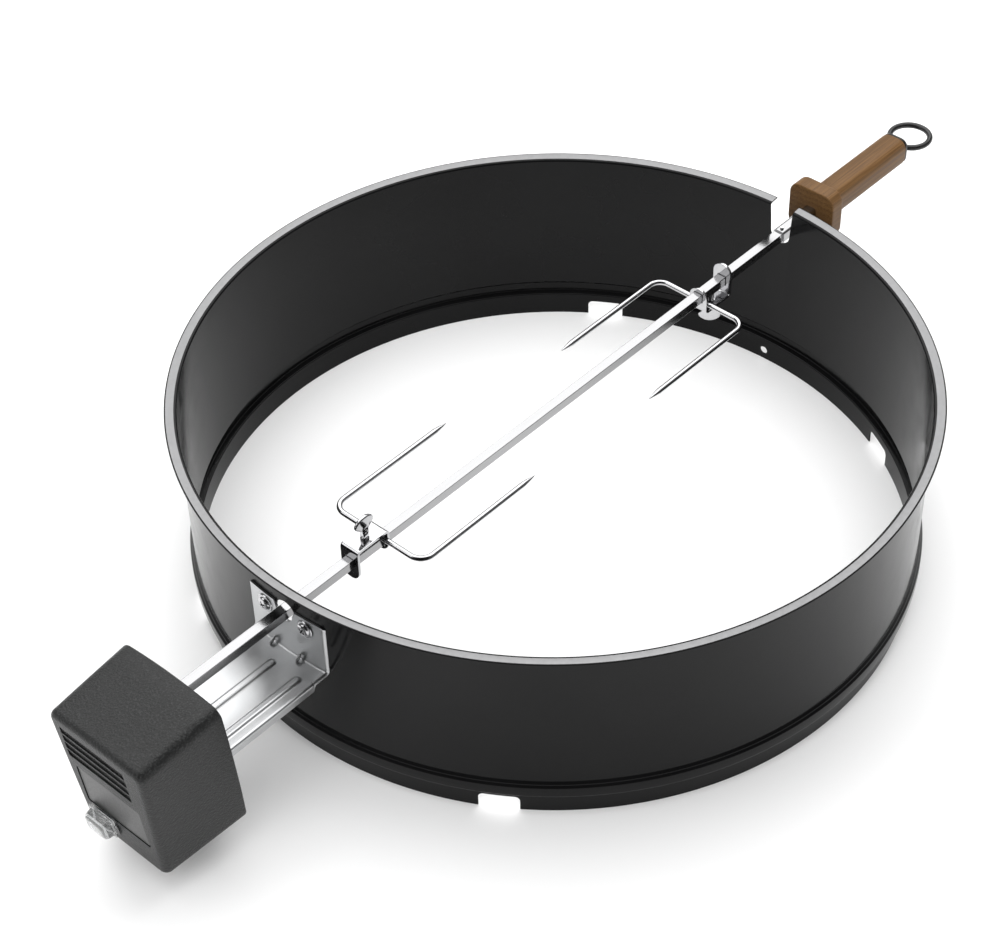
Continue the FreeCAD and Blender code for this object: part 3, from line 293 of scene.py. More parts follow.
GROUND = bright_steel("ground_steel", (0.62, 0.62, 0.63), 0.2, (2, 90, 90), 0.2)
SLOT_LOOKS = {
    "enamel": ENAMEL, "zinc": ZINC, "fastener": CHROME, "housing": HOUSING, "panel": PANEL,
    "switch": SWITCH, "clear": BOOT, "seal": RUBBER, "core": LAMINATE, "winding": COPPER,
    "bearing": BRONZE, "shaft": GROUND, "gear": ACETAL, "spit": SPIT, "grip": WOOD, "cap": BLACK,
    "fork": CHROME,
}


# ---------------------------------------------------------------- mesh tools

def arc_corner(before, corner, after, radius, steps):
    """Points that round a corner of a flat outline."""
    p, a, b = Vector(corner), Vector(before), Vector(after)
    to_a, to_b = (a - p).normalized(), (b - p).normalized()
    half = to_a.angle(to_b) / 2
    inward = (to_a + to_b).normalized()
    centre = p + inward * (radius / math.sin(half))
    start, end = p + to_a * (radius / math.tan(half)) - centre, p + to_b * (radius / math.tan(half)) - centre
    sweep = start.angle(end)
    side = 1 if start.x * end.y - start.y * end.x > 0 else -1
    points = []
    for i in range(steps + 1):
        angle = side * sweep * i / steps
        c, s = math.cos(angle), math.sin(angle)
        points.append(centre + Vector((start.x * c - start.y * s, start.x * s + start.y * c)))
    return points


def outline(corners, steps=5):
    """A closed outline from (x, y) or (x, y, radius) corners."""
    points = []
    for i, corner in enumerate(corners):
        if len(corner) == 2:
            points.append(Vector(corner))
        else:
            points += arc_corner(corners[i - 1][:2], corner[:2], corners[(i + 1) % len(corners)][:2],
                                 corner[2], steps)
    return points


def rectangle(width, height, radius, x=0.0, y=0.0, steps=5):
    w, h = width / 2, height / 2
    return outline([(x - w, y - h, radius), (x + w, y - h, radius),
                    (x + w, y + h, radius), (x - w, y + h, radius)], steps)


def circle(radius, x=0.0, y=0.0, count=32):
    return [Vector((x + radius * math.cos(2 * math.pi * i / count),
                    y + radius * math.sin(2 * math.pi * i / count))) for i in range(count)]


def on_x(points, x):
    """Put an outline in the plane across X: its x along Y, its y along Z."""
    return [Vector((x, p.x, p.y)) for p in points]


def on_y(points, y):
    return [Vector((p.x, y, p.y)) for p in points]


def on_z(points, z):
    return [Vector((p.x, p.y, z)) for p in points]


def loft(bm, rings):
    """Skin a list of equal-length closed rings, and cap both ends."""
    rows = [[bm.verts.new(p) for p in ring] for ring in rings]
    count = len(rows[0])
    for one, two in zip(rows, rows[1:]):
        for i in range(count):
            j = (i + 1) % count
            bm.faces.new((one[i], one[j], two[j], two[i]))
    for row in (rows[0][::-1], rows[-1]):
        bm.faces.new(row)


def tube(bm, path, radii, sides=20):
    """Sweep a circle along a path of points, with a radius at each."""
    tangents = []
    for i in range(len(path)):
        tangents.append((path[min(i + 1, len(path) - 1)] - path[max(i - 1, 0)]).normalized())
    normal = tangents[0].orthogonal().normalized()
    rings = []
    for point, tangent, radius in zip(path, tangents, radii):
        normal = (normal - tangent * normal.dot(tangent)).normalized()
        across = tangent.cross(normal)
        rings.append([point + (normal * math.cos(2 * math.pi * k / sides)
                               + across * math.sin(2 * math.pi * k / sides)) * radius
                      for k in range(sides)])
    loft(bm, rings)


def to_object(name, bm, materials, smooth=32.0):
    """Turn a bmesh in millimetres into an object in metres, shaded smooth below an angle."""
    bmesh.ops.remove_doubles(bm, verts=bm.verts, dist=1e-5)
    bmesh.ops.recalc_face_normals(bm, faces=bm.faces)
    bmesh.ops.scale(bm, vec=(MM, MM, MM), verts=bm.verts)
    mesh = bpy.data.meshes.new(name)
    bm.to_mesh(mesh)
    bm.free()
    made = bpy.data.objects.new(name, mesh)
    bpy.context.scene.collection.objects.link(made)
    for material in materials:
        mesh.materials.append(material)
    shade(mesh, smooth)
    return made


def shade(mesh, smooth):
    mesh.shade_smooth()
    mesh.set_sharp_from_angle(angle=math.radians(smooth))


def apply_modifiers(item, smooth=32.0):
    """Freeze an object's modifiers into its mesh."""
    graph = bpy.context.evaluated_depsgraph_get()
    mesh = bpy.data.meshes.new_from_object(item.evaluated_get(graph))
    old = item.data
    item.modifiers.clear()
    item.data = mesh
    bpy.data.meshes.remove(old)
    shade(mesh, smooth)


def bevel(item, width, segments=3, angle=40.0, smooth=32.0):
    made = item.modifiers.new("bevel", "BEVEL")
    made.width = width * MM
    made.segments = segments
    made.limit_method = "ANGLE"
    made.angle_limit = math.radians(angle)
    apply_modifiers(item, smooth)


def carve(item, cutters, smooth=32.0):
    """Cut several closed meshes out of an object."""
    for cutter in cutters:
        made = item.modifiers.new("cut", "BOOLEAN")
        made.operation = "DIFFERENCE"
        made.solver = "EXACT"
        made.object = cutter
    apply_modifiers(item, smooth)
    for cutter in cutters:
        mesh = cutter.data
        bpy.data.objects.remove(cutter)
        bpy.data.meshes.remove(mesh)


def prism(rings):
    """A closed mesh to cut with."""
    bm = bmesh.new()
    loft(bm, rings)
    return to_object("cutter", bm, [])


def dress(item, body, slot, *replaced):
    """Ride on a body, and stand for CAD nodes; slot is not used."""
    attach(item, body)
    if replaced:
        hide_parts(*replaced)
    return item


# ---------------------------------------------------------------- ring

RING_STEPS = 360
SLOT_RADIUS = 9.5
SLOT_CENTRE = SPIT_Z - 7.15 + SLOT_RADIUS
BAND = (282.9, 288.9)           # radii of the bare metal band on the rim
BAND_LOW = 160.3                # every face of the band is above this
NOTCH_AZIMUTHS = (32.0, 147.0, 213.0, 330.5)


def make_ring():
    outer = [(280, 0), (280, 19, 0.8), (285, 20, 1.4), (285, 29.2, 1.0), (283.5, 30.9, 0.25),
             (283.3, 31.5, 0.25), (WALL_RADIUS, 33.4, 0.8), (WALL_RADIUS, 159.0, 1.0), (289.5, 160.0),
             (290, 160.35), (290, 160.75), (289.6, 161.1), (BAND[1], 161.15), (BAND[0], 160.38)]
    inner = [(280.6, 160.0, 1.8), (280.6, 32.6, 0.8), (284, 29, 1.0), (284, 21, 0.8), (279, 20, 1.2),
             (279, 0)]
    profile = outline(outer + inner, 6)
    bm = bmesh.new()
    rings = []
    for i in range(RING_STEPS):
        angle = 2 * math.pi * (i + 0.5) / RING_STEPS
        rings.append([bm.verts.new((p.x * math.cos(angle), p.x * math.sin(angle), p.y)) for p in profile])
    count = len(profile)
    for i in range(RING_STEPS):
        one, two = rings[i], rings[(i + 1) % RING_STEPS]
        for k in range(count):
            m = (k + 1) % count
            face = bm.faces.new((one[k], two[k], two[m], one[m]))
            middle = (profile[k] + profile[m]) / 2
            if middle.y > BAND_LOW and BAND[0] < middle.x < BAND[1]:
                face.material_index = 1
    ring = to_object("ring_wall", bm, [ENAMEL, RIM])

    throat = outline([(-SLOT_RADIUS, SLOT_CENTRE), (SLOT_RADIUS, SLOT_CENTRE), (11.5, 165), (-11.5, 165)])
    handle_wall, motor_wall = (250, 300), (-300, -250)
    cutters = [prism([on_x(throat, x) for x in handle_wall]),
               prism([on_x(circle(SLOT_RADIUS, 0, SLOT_CENTRE, 48), x) for x in handle_wall]),
               prism([on_x(circle(3.5, 7, 8.5), x) for x in handle_wall]),
               prism([on_x(circle(9, 0, SPIT_Z, 48), x) for x in motor_wall])]
    for side in (-1, 1):
        hole = circle(CLEARANCE, side * WALL_SCREW_SIDE, WALL_SCREW_HEIGHT)
        cutters.append(prism([on_x(hole, x) for x in motor_wall]))
    for azimuth in NOTCH_AZIMUTHS:
        notch = outline([(-15, -2), (15, -2), (15, 13, 4), (-15, 13, 4)], 6)
        cutter = prism([on_x(notch, x) for x in handle_wall])
        cutter.data.transform(Matrix.Rotation(math.radians(azimuth), 4, "Z"))
        cutters.append(cutter)
    carve(ring, cutters)
    dress(ring, "frame", "enamel", "ring_shell")


# ---------------------------------------------------------------- motor cover

FRONT_X, FRONT_LEAN, BACK_LEAN = -440.2, math.radians(5.8), math.radians(4.9)
COVER_SIDE = 1.1                # the cover's middle is this far towards +Y
ROUNDING = 5.5                  # of the edge between the cover's front and its sides
VENT_SIDE, VENT_WIDTH, VENT_PITCH, MESH_PITCH = 5.5, 63, 8.2, 1.9
VENT_HEIGHTS = [105.9 + VENT_PITCH * step for step in range(4)]
PANEL_CENTRE = (1.5, 73.7)
SWITCH_CENTRE = (17.5, 46.0)
THROUGH_FRONT = (-6, 6)


def with_midpoints(points, parts):
    """Divide the long straight sides, so that the bowed ones really bow."""
    result = []
    for i, p in enumerate(points):
        q = points[(i + 1) % len(points)]
        result.append(p)
        if (q - p).length > 20:
            result += [p.lerp(q, k / parts) for k in range(1, parts)]
    return result


def cover_section(t, inset, depth):
    """A section between the front (t = 0) and back (t = 1) planes, with an inset from the outside."""
    front = dict(top_half=46.6, foot_half=39.7, foot=24.4, top=144.0, side=0.6, crown=1.5, x=FRONT_X + depth,
                 lean=FRONT_LEAN)
    back = dict(top_half=48.0, foot_half=47.4, foot=32.6, top=151.4, side=1.6, crown=3.8, x=-371.4,
                lean=BACK_LEAN)
    v = {k: front[k] * (1 - t) + back[k] * t for k in front}
    foot, top = v["foot"] + inset, v["top"] - inset
    corner = max(7.5 - inset, 1.8)
    mid, reach = (top + foot) / 2, (top - foot) / 2
    low, high = v["foot_half"] - inset, v["top_half"] - inset
    corners = [(-low, foot, corner), (low, foot, corner), (high, top, corner), (-high, top, corner)]
    points = []
    for p in with_midpoints(outline(corners, 9), 16):
        up, out = (p.y - mid) / reach, p.x / high
        y = COVER_SIDE + p.x + out * abs(out) * v["side"] * (1 - up ** 2)
        z = p.y + (v["crown"] * (1 - out ** 2) * up ** 2 if up > 0 else 0)
        points.append(Vector((v["x"] - z * math.sin(v["lean"]), y, z * math.cos(v["lean"]))))
    return points


def on_front(points, depth):
    """Put an outline on the leaning front face, moved in along its normal."""
    c, s = math.cos(FRONT_LEAN), math.sin(FRONT_LEAN)
    return [Vector((FRONT_X + depth * c - p.y * s, p.x, depth * s + p.y * c)) for p in points]


def make_cover():
    """The cover as one closed skin, out over the front and sides and back along the inside."""
    bm = bmesh.new()
    sections = []
    for step in range(9):
        angle = math.pi / 2 * step / 8
        inset, depth = ROUNDING * (1 - math.sin(angle)), ROUNDING * (1 - math.cos(angle))
        sections.append(cover_section(0.0, inset, depth))
    sections += [cover_section(t, 0.0, ROUNDING * (1 - t)) for t in (0.25, 0.5, 0.75, 0.985)]
    sections += [cover_section(1.0, i, 0.0) for i in (0.45, 2.2)]
    wall = 2.6
    sections += [cover_section(t, wall, wall) for t in (0.985, 0.5, 0.1)]
    sections.append(cover_section(0.0, 5.5, 3.2))
    loft(bm, sections)
    cover = to_object("motor_housing", bm, [HOUSING], 40.0)

    cutters = []
    for height in VENT_HEIGHTS:
        vent = rectangle(VENT_WIDTH, 7.0, 1.0, VENT_SIDE, height)
        cutters.append(prism([on_front(vent, d) for d in THROUGH_FRONT]))
    cutters.append(prism([on_front(rectangle(64, 40, 2.2, *PANEL_CENTRE), d) for d in (-6, 1.4)]))
    cutters.append(prism([on_front(rectangle(21.4, 16.0, 1, *SWITCH_CENTRE), d) for d in THROUGH_FRONT]))
    cord_hole = circle(5, -416, 22)
    cutters.append(prism([on_z(cord_hole, z) for z in (20, 40)]))
    carve(cover, cutters, 40.0)
    dress(cover, "frame", "housing", "motor_cover")

    bm = bmesh.new()
    middle = (VENT_HEIGHTS[0] + VENT_HEIGHTS[-1]) / 2
    bars = [rectangle(0.8, 34, 0.1, VENT_SIDE + MESH_PITCH * (k - 17), middle, 1) for k in range(35)]
    bars += [rectangle(66, 0.8, 0.1, VENT_SIDE, middle + MESH_PITCH * (k - 8.5), 1) for k in range(18)]
    for bar in bars:
        loft(bm, [on_front(bar, d) for d in (1.1, 1.9)])
    dress(to_object("vent_mesh", bm, [HOUSING]), "frame", "housing")


# ---------------------------------------------------------------- sheet metal

def folded_path(corners, radius, step):
    """Points and directions (x, z) along a folded strip's middle, with rounded bends."""
    bent = []
    for i, corner in enumerate(corners):
        if 0 < i < len(corners) - 1:
            bent += arc_corner(corners[i - 1], corner, corners[i + 1], radius, 8)
        else:
            bent.append(Vector(corner))
    path = []
    for one, two in zip(bent, bent[1:]):
        parts = max(1, round((two - one).length / step))
        path += [one.lerp(two, k / parts) for k in range(parts)]
    path.append(bent[-1])
    ways = [(path[min(i + 1, len(path) - 1)] - path[max(i - 1, 0)]).normalized() for i in range(len(path))]
    return list(zip(path, ways))


def fold_edge(y, flat, radius):
    """Wrap the part of a strip beyond its flat half width downwards: across, drop and tilt."""
    beyond = abs(y) - flat
    if beyond <= 0:
        return y, 0.0, 0.0
    tilt = min(beyond / radius, math.pi / 2)
    across = flat + radius * math.sin(tilt)
    drop = radius * (1 - math.cos(tilt)) + max(beyond - radius * math.pi / 2, 0.0)
    return math.copysign(across, y), drop, tilt


def folded_sheet(bm, path, thickness, half_at, columns, relief=None, flat=1000.0, fold=1.2):
    """A folded strip: half_at gives half its width, relief lifts points, edges beyond flat fold down."""
    rows = []
    for point, way in path:
        normal = Vector((way.y, -way.x))
        row = []
        for side in (1, -1):
            line = []
            for k in range(columns + 1):
                y, drop, tilt = fold_edge(half_at(point) * (2 * k / columns - 1), flat, fold)
                lift = relief(point, y) if relief else 0.0
                stand = side * thickness / 2 + lift
                at = point + normal * (stand * math.cos(tilt) - drop)
                line.append(bm.verts.new((at.x, y + math.copysign(math.sin(tilt), y) * stand, at.y)))
            row.append(line)
        rows.append(row[0] + row[1][::-1])
    count = len(rows[0])
    for one, two in zip(rows, rows[1:]):
        for k in range(count):
            m = (k + 1) % count
            bm.faces.new((one[k], one[m], two[m], two[k]))
    for row in (rows[0], rows[-1]):
        for k in range(columns):
            bm.faces.new((row[k], row[k + 1], row[-k - 2], row[-k - 1]))


ARM_HEIGHT = 94.2
FLANGE_X, HANGER_X = -282.5, -388.8
FLANGE_CUT, HANGER_CUT = (-290, -275), (-395, -383)
BRACKET_HALF = 37.0             # half the bracket's width between its lips


def press_ribs(point, y):
    """Height of the three pressed ribs in the arm."""
    if point.y > 95.0:
        return 0.0
    rib_start, rib_end, rib_half, rib_flank, rib_height = -376.5, -300.0, 3.9, 2.4, 1.5
    reach = min(max(point.x, rib_start), rib_end)
    nearest = min(math.hypot(point.x - reach, y - centre) for centre in (-25.0, 0.0, 25.0))
    slope = min(max((rib_half - nearest) / rib_flank, 0.0), 1.0)
    return rib_height * slope * slope * (3 - 2 * slope)


def flange_half(point):
    """Half the bracket's width: rounded flange corners, narrower hanger, and lips to fold on the arm."""
    corner_start, corner, narrow_start, lip_width = 135.0, 3.5, 97.0, 5.0
    if point.x > -284 and point.y > corner_start:
        return BRACKET_HALF - corner + math.sqrt(max(corner ** 2 - (point.y - corner_start) ** 2, 0.0))
    if point.x < -388 and point.y > narrow_start:
        return BRACKET_HALF - lip_width * min((point.y - narrow_start) / 3.0, 1.0)
    lip = min(point.x + 381.5, -293.0 - point.x) / 2.0
    return BRACKET_HALF + lip_width * min(max(lip, 0.0), 1.0)


def wrap_on_ring(item):
    """Bend the flange round the ring's wall, from a little before the fold."""
    bend_start, bend_length = -292.0, 8.0
    for vertex in item.data.vertices:
        x, y = vertex.co.x / MM, vertex.co.y / MM
        share = min(max((x - bend_start) / bend_length, 0.0), 1.0)
        share *= share * (3 - 2 * share)
        vertex.co.x += share * (WALL_RADIUS - math.sqrt(WALL_RADIUS ** 2 - y ** 2)) * MM


def make_bracket():
    bm = bmesh.new()
    path = folded_path([(FLANGE_X, 138.5), (FLANGE_X, ARM_HEIGHT), (HANGER_X, ARM_HEIGHT), (HANGER_X, 146.0)],
                       2.3, 1.0)
    folded_sheet(bm, path, 1.6, flange_half, 132, press_ribs, 34.9, 1.3)
    bracket = to_object("bracket_sheet", bm, [ZINC], 40.0)
    cutters = []
    notch_radius = 8
    notch = [(-11.5, 142), (-notch_radius, SPIT_Z)]
    notch += [(notch_radius * math.cos(a), SPIT_Z + notch_radius * math.sin(a))
              for a in (math.pi * (1 + k / 16) for k in range(1, 16))]
    notch += [(notch_radius, SPIT_Z), (11.5, 142)]
    cutters.append(prism([on_x([Vector(p) for p in notch], x) for x in FLANGE_CUT]))
    cutters.append(prism([on_x(circle(12, 0, SPIT_Z, 48), x) for x in HANGER_CUT]))
    for side in (-1, 1):
        hole = circle(CLEARANCE, side * WALL_SCREW_SIDE, WALL_SCREW_HEIGHT)
        cutters.append(prism([on_x(hole, x) for x in FLANGE_CUT]))
        for height in HANGER_SCREW_HEIGHTS:
            hole = circle(CLEARANCE, side * HANGER_SCREW_SIDE, height)
            cutters.append(prism([on_x(hole, x) for x in HANGER_CUT]))
    carve(bracket, cutters, 40.0)
    bevel(bracket, 0.25, 2, 60.0, 40.0)
    wrap_on_ring(bracket)
    dress(bracket, "frame", "zinc", "motor_bracket")

    # The two darts pressed across the fold between arm and flange.
    bm = bmesh.new()
    parts = 12
    outward = Vector((-1, 0, 1)).normalized()
    for side in (-1, 1):
        foot, head = Vector((-288.6, side * 13.0, 95.0)), Vector((-283.4, side * 13.0, 100.2))
        path = [foot.lerp(head, k / parts) + outward * (0.9 * math.sin(math.pi * k / parts) - 0.5)
                for k in range(parts + 1)]
        tube(bm, path, [0.3 + 1.1 * math.sin(math.pi * k / parts) ** 0.6 for k in range(parts + 1)])
    dress(to_object("bracket_darts", bm, [ZINC], 40.0), "frame", "zinc")


def cross_screw(bm, x, y, z, radius, rise, flange, toward, shank):
    """A cross-recess screw with its head on a face at x, and a washer rim if flange isn't 0."""
    profile = [(radius, 0.0), (radius, rise * 0.35)]
    profile += [(radius * math.cos(a) ** 0.7, rise * (0.35 + 0.65 * math.sin(a)))
                for a in (math.pi / 2 * k / 10 for k in range(1, 10))]
    if flange:
        profile = [(flange, 0.0), (flange, 0.5), (flange - 0.3, 0.9), (flange - 0.9, 1.05),
                   (radius + 0.5, 0.95), (radius + 0.15, 1.05)] + profile[1:]
    profile = [(SHANK, -shank), (SHANK, -0.2), (SHANK, 0.0)] + profile
    loft(bm, [[v + Vector((0, y, z)) for v in on_x(circle(r, count=48), x + toward * h)] for r, h in profile])


def cross_cutter(x, y, z, size, depth, toward, turn):
    """The cross-shaped socket of a screw, narrowing as it goes in."""
    rings = []
    for reach, out in ((size, 0.6), (size * 0.45, -depth)):
        arm = reach * 0.24
        corners = [(arm, arm), (arm, reach), (-arm, reach), (-arm, arm), (-reach, arm), (-reach, -arm),
                   (-arm, -arm), (-arm, -reach), (arm, -reach), (arm, -arm), (reach, -arm), (reach, arm)]
        c, s = math.cos(turn), math.sin(turn)
        rings.append([Vector((x + toward * out, y + a * c - b * s, z + a * s + b * c)) for a, b in corners])
    return prism(rings)


def make_screws():
    bm, cutters = bmesh.new(), []
    for side, turn in ((-1, 0.5), (1, 1.1)):
        at = (side * WALL_SCREW_SIDE, WALL_SCREW_HEIGHT)
        cross_screw(bm, -282.7, *at, 5.5, 3.4, 7.3, -1, 12.0)
        cutters.append(cross_cutter(-286.1, *at, 3.4, 2.0, -1, turn))
    screws = to_object("wall_screws", bm, [CHROME], 35.0)
    carve(screws, cutters, 35.0)
    dress(screws, "frame", "fastener", "bracket_screws")
    bm, cutters = bmesh.new(), []
    for side in (-1, 1):
        for height in HANGER_SCREW_HEIGHTS:
            at = (side * HANGER_SCREW_SIDE, height)
            cross_screw(bm, -388.0, *at, 5.3, 3.1, 0, 1, 8.0)
            cutters.append(cross_cutter(-384.9, *at, 3.1, 1.9, 1, 0.3 * side + height))
    screws = to_object("hanger_fixings", bm, [CHROME], 35.0)
    carve(screws, cutters, 35.0)
    dress(screws, "frame", "fastener", "hanger_screws")


# ---------------------------------------------------------------- switch

def make_switch_boot():
    """A clear moulded boot: a stepped foot, then a soft box with a domed face."""
    bm = bmesh.new()
    # Width, height, corner radius and depth of each section.
    outer = [(24.6, 19.0, 2.2, -1.75), (25.0, 19.4, 2.4, -2.0), (25.0, 19.4, 2.4, -3.1),
             (24.4, 18.8, 2.2, -3.5), (22.8, 17.2, 2.6, -3.6), (22.2, 16.6, 2.8, -3.9),
             (21.6, 16.0, 3.0, -5.2), (21.0, 15.4, 3.0, -8.2), (20.2, 14.6, 3.0, -9.4),
             (18.6, 13.0, 2.8, -10.3), (15.6, 10.2, 2.6, -10.9), (9.0, 5.0, 2.0, -11.2)]
    inner = [(19.6, 14.0, 2.0, 1.0), (19.6, 14.0, 2.0, -1.75), (19.4, 13.8, 2.0, -8.0),
             (17.6, 12.0, 2.0, -9.2), (8.0, 4.0, 1.5, -9.8)]
    outside, inside = ([on_front(rectangle(w, h, r, *SWITCH_CENTRE, 6), d) for w, h, r, d in stages]
                       for stages in (outer, inner))
    loft(bm, outside)
    cutter = prism(inside)
    boot = to_object("clear_cover", bm, [BOOT], 28.0)
    carve(boot, [cutter], 28.0)
    dress(boot, "frame", "clear", "switch_boot")


def make_panel():
    """The blank panel: a thin film with a raised border line."""
    bm = bmesh.new()
    stages = [(61.8, 37.8, 1.7, 1.38), (61.8, 37.8, 1.7, 0.5), (61.2, 37.2, 1.5, 0.42),
              (59.6, 35.6, 1.1, 0.42), (59.2, 35.2, 1.0, 0.58)]
    loft(bm, [on_front(rectangle(w, h, r, *PANEL_CENTRE, 6), d) for w, h, r, d in stages])
    dress(to_object("blank_panel_film", bm, [PANEL], 30.0), "frame", "panel", "rating_plate")


# ---------------------------------------------------------------- handle

def square_ring(x, side, corner):
    """A rounded square round the bar's axis."""
    return on_x(rectangle(side, side, corner, 0, SPIT_Z, 8), x)


def make_handle():
    bm = bmesh.new()
    stations = [(322.0, 42.0, 9.4), (322.15, 43.0, 9.8), (322.5, 43.7, 10.0), (323.1, 44.0, 10.2),
                (325.2, 44.0, 10.2), (332.8, 44.0, 10.2), (334.9, 44.0, 10.2), (335.5, 43.7, 10.0),
                (335.85, 43.0, 9.8), (336.0, 42.0, 9.4), (336.0, 27.0, 8.6), (336.3, 26.0, 8.3),
                (337.0, 25.3, 8.2), (338.4, 25.0, 8.2), (365.0, 25.0, 8.2), (400.0, 25.0, 8.2),
                (438.8, 25.0, 8.2), (440.0, 24.6, 8.1), (440.7, 23.9, 7.9), (441.0, 23.0, 7.6)]
    loft(bm, [square_ring(*station) for station in stations])
    dress(to_object("wooden_handle", bm, [WOOD], 50.0), "spit", "grip", "handle_grip")


def make_end_cap():
    bm = bmesh.new()
    stations = [(441.0, 23.4, 7.0), (441.15, 23.9, 7.2), (442.8, 24.0, 7.2), (443.3, 23.6, 7.1),
                (443.5, 22.6, 6.8)]
    loft(bm, [square_ring(*station) for station in stations])
    cap = to_object("end_cap", bm, [BLACK], 50.0)
    dress(cap, "spit", "cap", "handle_end_cap")

    bm = bmesh.new()
    eye = outline([(443.3, SPIT_Z - 6), (451.5, SPIT_Z - 6, 4.5), (451.5, SPIT_Z + 6, 4.5),
                   (443.3, SPIT_Z + 6)], 8)
    loft(bm, [on_y(eye, y) for y in (-2.5, 2.5)])
    knuckle = to_object("cap_eye", bm, [BLACK])
    hole = prism([on_y(circle(2.85, 447.5, SPIT_Z, 28), y) for y in (-5, 5)])
    carve(knuckle, [hole])
    bevel(knuckle, 0.6, 3)
    dress(knuckle, "spit", "cap")


def make_hanging_ring():
    bm = bmesh.new()
    sides, around, wire, loop_radius, middle = 20, 96, 2.55, 17.0, Vector((464.5, 0, SPIT_Z))
    rings = []
    for i in range(around):
        a = 2 * math.pi * i / around
        out = Vector((math.cos(a), math.sin(a), 0))
        centre = middle + out * loop_radius
        rings.append([bm.verts.new(centre + (out * math.cos(2 * math.pi * k / sides)
                                             + Vector((0, 0, 1)) * math.sin(2 * math.pi * k / sides)) * wire)
                      for k in range(sides)])
    for i in range(around):
        one, two = rings[i], rings[(i + 1) % around]
        for k in range(sides):
            bm.faces.new((one[k], two[k], two[(k + 1) % sides], one[(k + 1) % sides]))
    dress(to_object("wire_loop", bm, [BLACK]), "loop", "cap", "hanging_ring")


# ---------------------------------------------------------------- forks

# Where each fork is on the bar, and the turn of its thumbscrew in degrees.
FORK_TURNS = {
    "a": (Matrix.Translation((-202.5 * MM, 0, SPIT_Z * MM)), 0.0),
    "b": (Matrix.Translation((190.0 * MM, 0, SPIT_Z * MM)) @ Matrix.Rotation(math.pi, 4, "Y"), -52.0),
}


def make_prongs(fork):
    """One wire bent to two prongs, each drawn out to a point."""
    bm = bmesh.new()
    height, half, bend, cross, tip, point = 6.3, 44.0, 11.0, 12.0, 131.0, 12.0
    path = []
    for sign in (-1, 1):
        arm = [Vector((tip - d, sign * half, height))
               for d in (0.0, 1.2, 3.0, 6.0, 9.0, point, 14.0, 40.0, 80.0)]
        turn = [Vector((cross + bend - bend * math.sin(a), sign * (half - bend + bend * math.cos(a)), height))
                for a in (math.pi / 2 * k / 10 for k in range(11))]
        side = arm + turn
        path += side if sign < 0 else side[::-1]
    radii = [2.2 if p.x < tip - point else 0.18 + 2.02 * ((tip - p.x) / point) ** 0.8 for p in path]
    tube(bm, path, radii, 24)
    prongs = to_object("fork_wire_" + fork, bm, [CHROME], 60.0)
    prongs.data.transform(FORK_TURNS[fork][0])
    dress(prongs, "fork_" + fork, "fork", "fork_prongs_" + fork)


def ear_half(point):
    """Half the width of the strip: round at the end of the long outer ear and of the short inner one."""
    half, start = 8.5, 0.5 if point.x > 0 else -6.5
    if point.y < start:
        return max(math.sqrt(max(half ** 2 - (point.y - start) ** 2, 0.0)), 0.6)
    return half


def make_fork_bracket(fork):
    """A channel bracket folded from strip, with a square hole in each ear."""
    bm = bmesh.new()
    path = folded_path([(-15.0, -14.98), (-15.0, 12.5), (15.0, 12.5), (15.0, -7.98)], 2.4, 0.8)
    folded_sheet(bm, path, 2.0, ear_half, 14)
    bracket = to_object("fork_channel_" + fork, bm, [CHROME], 40.0)
    bore = prism([on_x(rectangle(9, 9, 0.8), x) for x in (-20, 20)])
    carve(bracket, [bore, prism([on_z(circle(3.0), z) for z in (9, 16)])], 40.0)
    bevel(bracket, 0.3, 2, 60.0, 40.0)
    bracket.data.transform(FORK_TURNS[fork][0])
    dress(bracket, "fork_" + fork, "fork", "fork_bracket_" + fork)


def make_thumbscrew(fork):
    """A threaded shank under a flat, waisted spade grip."""
    bm = bmesh.new()
    rings, turns, per_turn, count = [], 14, 8, 28
    low, high = 4.2, 15.8
    for i in range(turns * per_turn + 1):
        z = low + (high - low) * i / (turns * per_turn)
        ring = []
        for k in range(count):
            a = 2 * math.pi * k / count
            wave = math.cos(2 * math.pi * (i / per_turn) - a)
            ring.append(Vector((math.cos(a), math.sin(a), 0)) * (2.62 + 0.26 * wave) + Vector((0, 0, z)))
        rings.append(ring)
    loft(bm, rings)
    # Height, half width and half thickness of each section of the grip.
    sections = ((13.7, 2.4, 2.4), (14.2, 2.9, 2.9), (19.8, 2.9, 2.7), (20.8, 3.3, 2.3), (21.4, 4.4, 1.9),
                (22.3, 5.9, 1.6), (23.5, 7.4, 1.5), (25.0, 8.6, 1.5), (26.6, 9.0, 1.5), (28.2, 8.6, 1.5),
                (29.8, 7.3, 1.5), (31.0, 5.6, 1.5), (31.8, 3.9, 1.4), (32.3, 2.2, 1.1), (32.5, 1.0, 0.7))
    grip = []
    for z, across, thick in sections:
        ring = []
        for k in range(40):
            a = 2 * math.pi * k / 40
            c, s = math.cos(a), math.sin(a)
            ring.append(Vector((across * math.copysign(abs(c) ** 0.8, c),
                                thick * math.copysign(abs(s) ** 0.45, s), z)))
        grip.append(ring)
    loft(bm, grip)
    screw = to_object("thumb_screw_" + fork, bm, [CHROME], 60.0)
    place, turn = FORK_TURNS[fork]
    screw.data.transform(place @ Matrix.Rotation(math.radians(turn if fork == "a" else -turn), 4, "Z"))
    dress(screw, "clamp_" + fork, "fork", "thumbscrew_" + fork)


# ---------------------------------------------------------------- stage

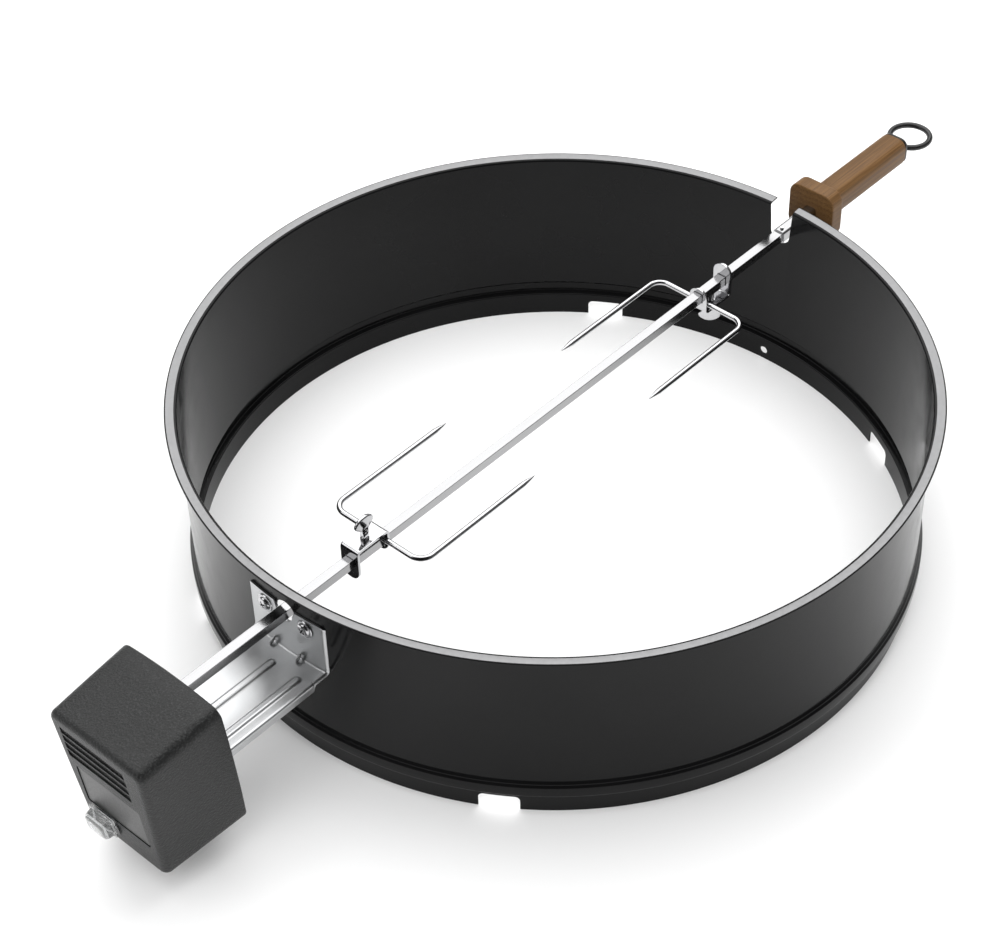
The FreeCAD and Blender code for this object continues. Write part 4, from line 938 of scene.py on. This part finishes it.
def make_stage():
    bm = bmesh.new()
    reach = 9000
    corners = ((-reach, -reach), (reach, -reach), (reach, reach), (-reach, reach))
    bm.faces.new([bm.verts.new((x, y, -0.2)) for x, y in corners])
    floor = to_object("floor", bm, [floor_material()])

    # The world is pale at the horizon, and darker round one direction, towards the camera.
    world = bpy.data.worlds.new("studio")
    bpy.context.scene.world = world
    world.use_nodes = True
    tree = world.node_tree
    direction = tree.nodes.new("ShaderNodeTexCoord").outputs["Generated"]
    height = tree.nodes.new("ShaderNodeSeparateXYZ")
    tree.links.new(direction, height.inputs[0])
    sky = tree.nodes.new("ShaderNodeValToRGB")
    sky.color_ramp.interpolation = "EASE"
    sky.color_ramp.elements.new(0.5)
    for element, (at, tone) in zip(sky.color_ramp.elements, ((0.0, 0.8), (0.3, 0.08), (0.75, 0.26))):
        element.position = at
        element.color = (tone, tone, tone, 1.0)
    tree.links.new(height.outputs["Z"], sky.inputs[0])
    toward_dark = tree.nodes.new("ShaderNodeVectorMath")
    toward_dark.operation = "DOT_PRODUCT"
    toward_dark.inputs[1].default_value = (-0.57, -0.50, 0.65)
    tree.links.new(direction, toward_dark.inputs[0])
    dark_side = tree.nodes.new("ShaderNodeMapRange")
    dark_side.interpolation_type = "SMOOTHSTEP"
    for key, number in (("From Min", 0.55), ("From Max", 0.92), ("To Min", 1.0), ("To Max", 0.12)):
        dark_side.inputs[key].default_value = number
    tree.links.new(toward_dark.outputs["Value"], dark_side.inputs["Value"])
    tree.links.new(dark_side.outputs["Result"], tree.nodes["Background"].inputs["Strength"])
    tree.links.new(sky.outputs["Color"], tree.nodes["Background"].inputs["Color"])

    # The fill doesn't show in reflections; spread is a size in metres, or an angle in degrees for the sun.
    for name, kind, at, spread, power in (("overhead", "AREA", (0.75, 0.75, 2.25), 3.6, 100.0),
                                          ("left", "AREA", (-2.0, 1.3, 1.7), 1.4, 10.0),
                                          ("fill", "SUN", (-1.6, -1.5, 2.6), 70.0, 2.3)):
        light = bpy.data.objects.new(name, bpy.data.lights.new(name, kind))
        light.data.energy = power
        if kind == "AREA":
            light.data.shape = "SQUARE"
            light.data.size = spread
        else:
            light.data.angle = math.radians(spread)
        light.location = at
        light.rotation_euler = (Vector((0, 0, 0.1)) - Vector(at)).to_track_quat("-Z", "Y").to_euler()
        light.visible_glossy = kind == "AREA"
        bpy.context.scene.collection.objects.link(light)
    bpy.context.scene.view_settings.view_transform = "Standard"
    bpy.context.scene.view_settings.look = "None"


# CAD pieces that are still shown take the look of their slot.
for part in frame["record"]["subparts"]:
    item = nodes[part["node"]]
    for material_slot in item.material_slots:
        material_slot.material = SLOT_LOOKS[part["material_slot"]]

make_ring()
make_cover()
make_panel()
make_switch_boot()
make_bracket()
make_screws()
make_handle()
make_end_cap()
make_hanging_ring()
for fork_name in ("a", "b"):
    make_fork_bracket(fork_name)
    make_prongs(fork_name)
    make_thumbscrew(fork_name)
make_stage()
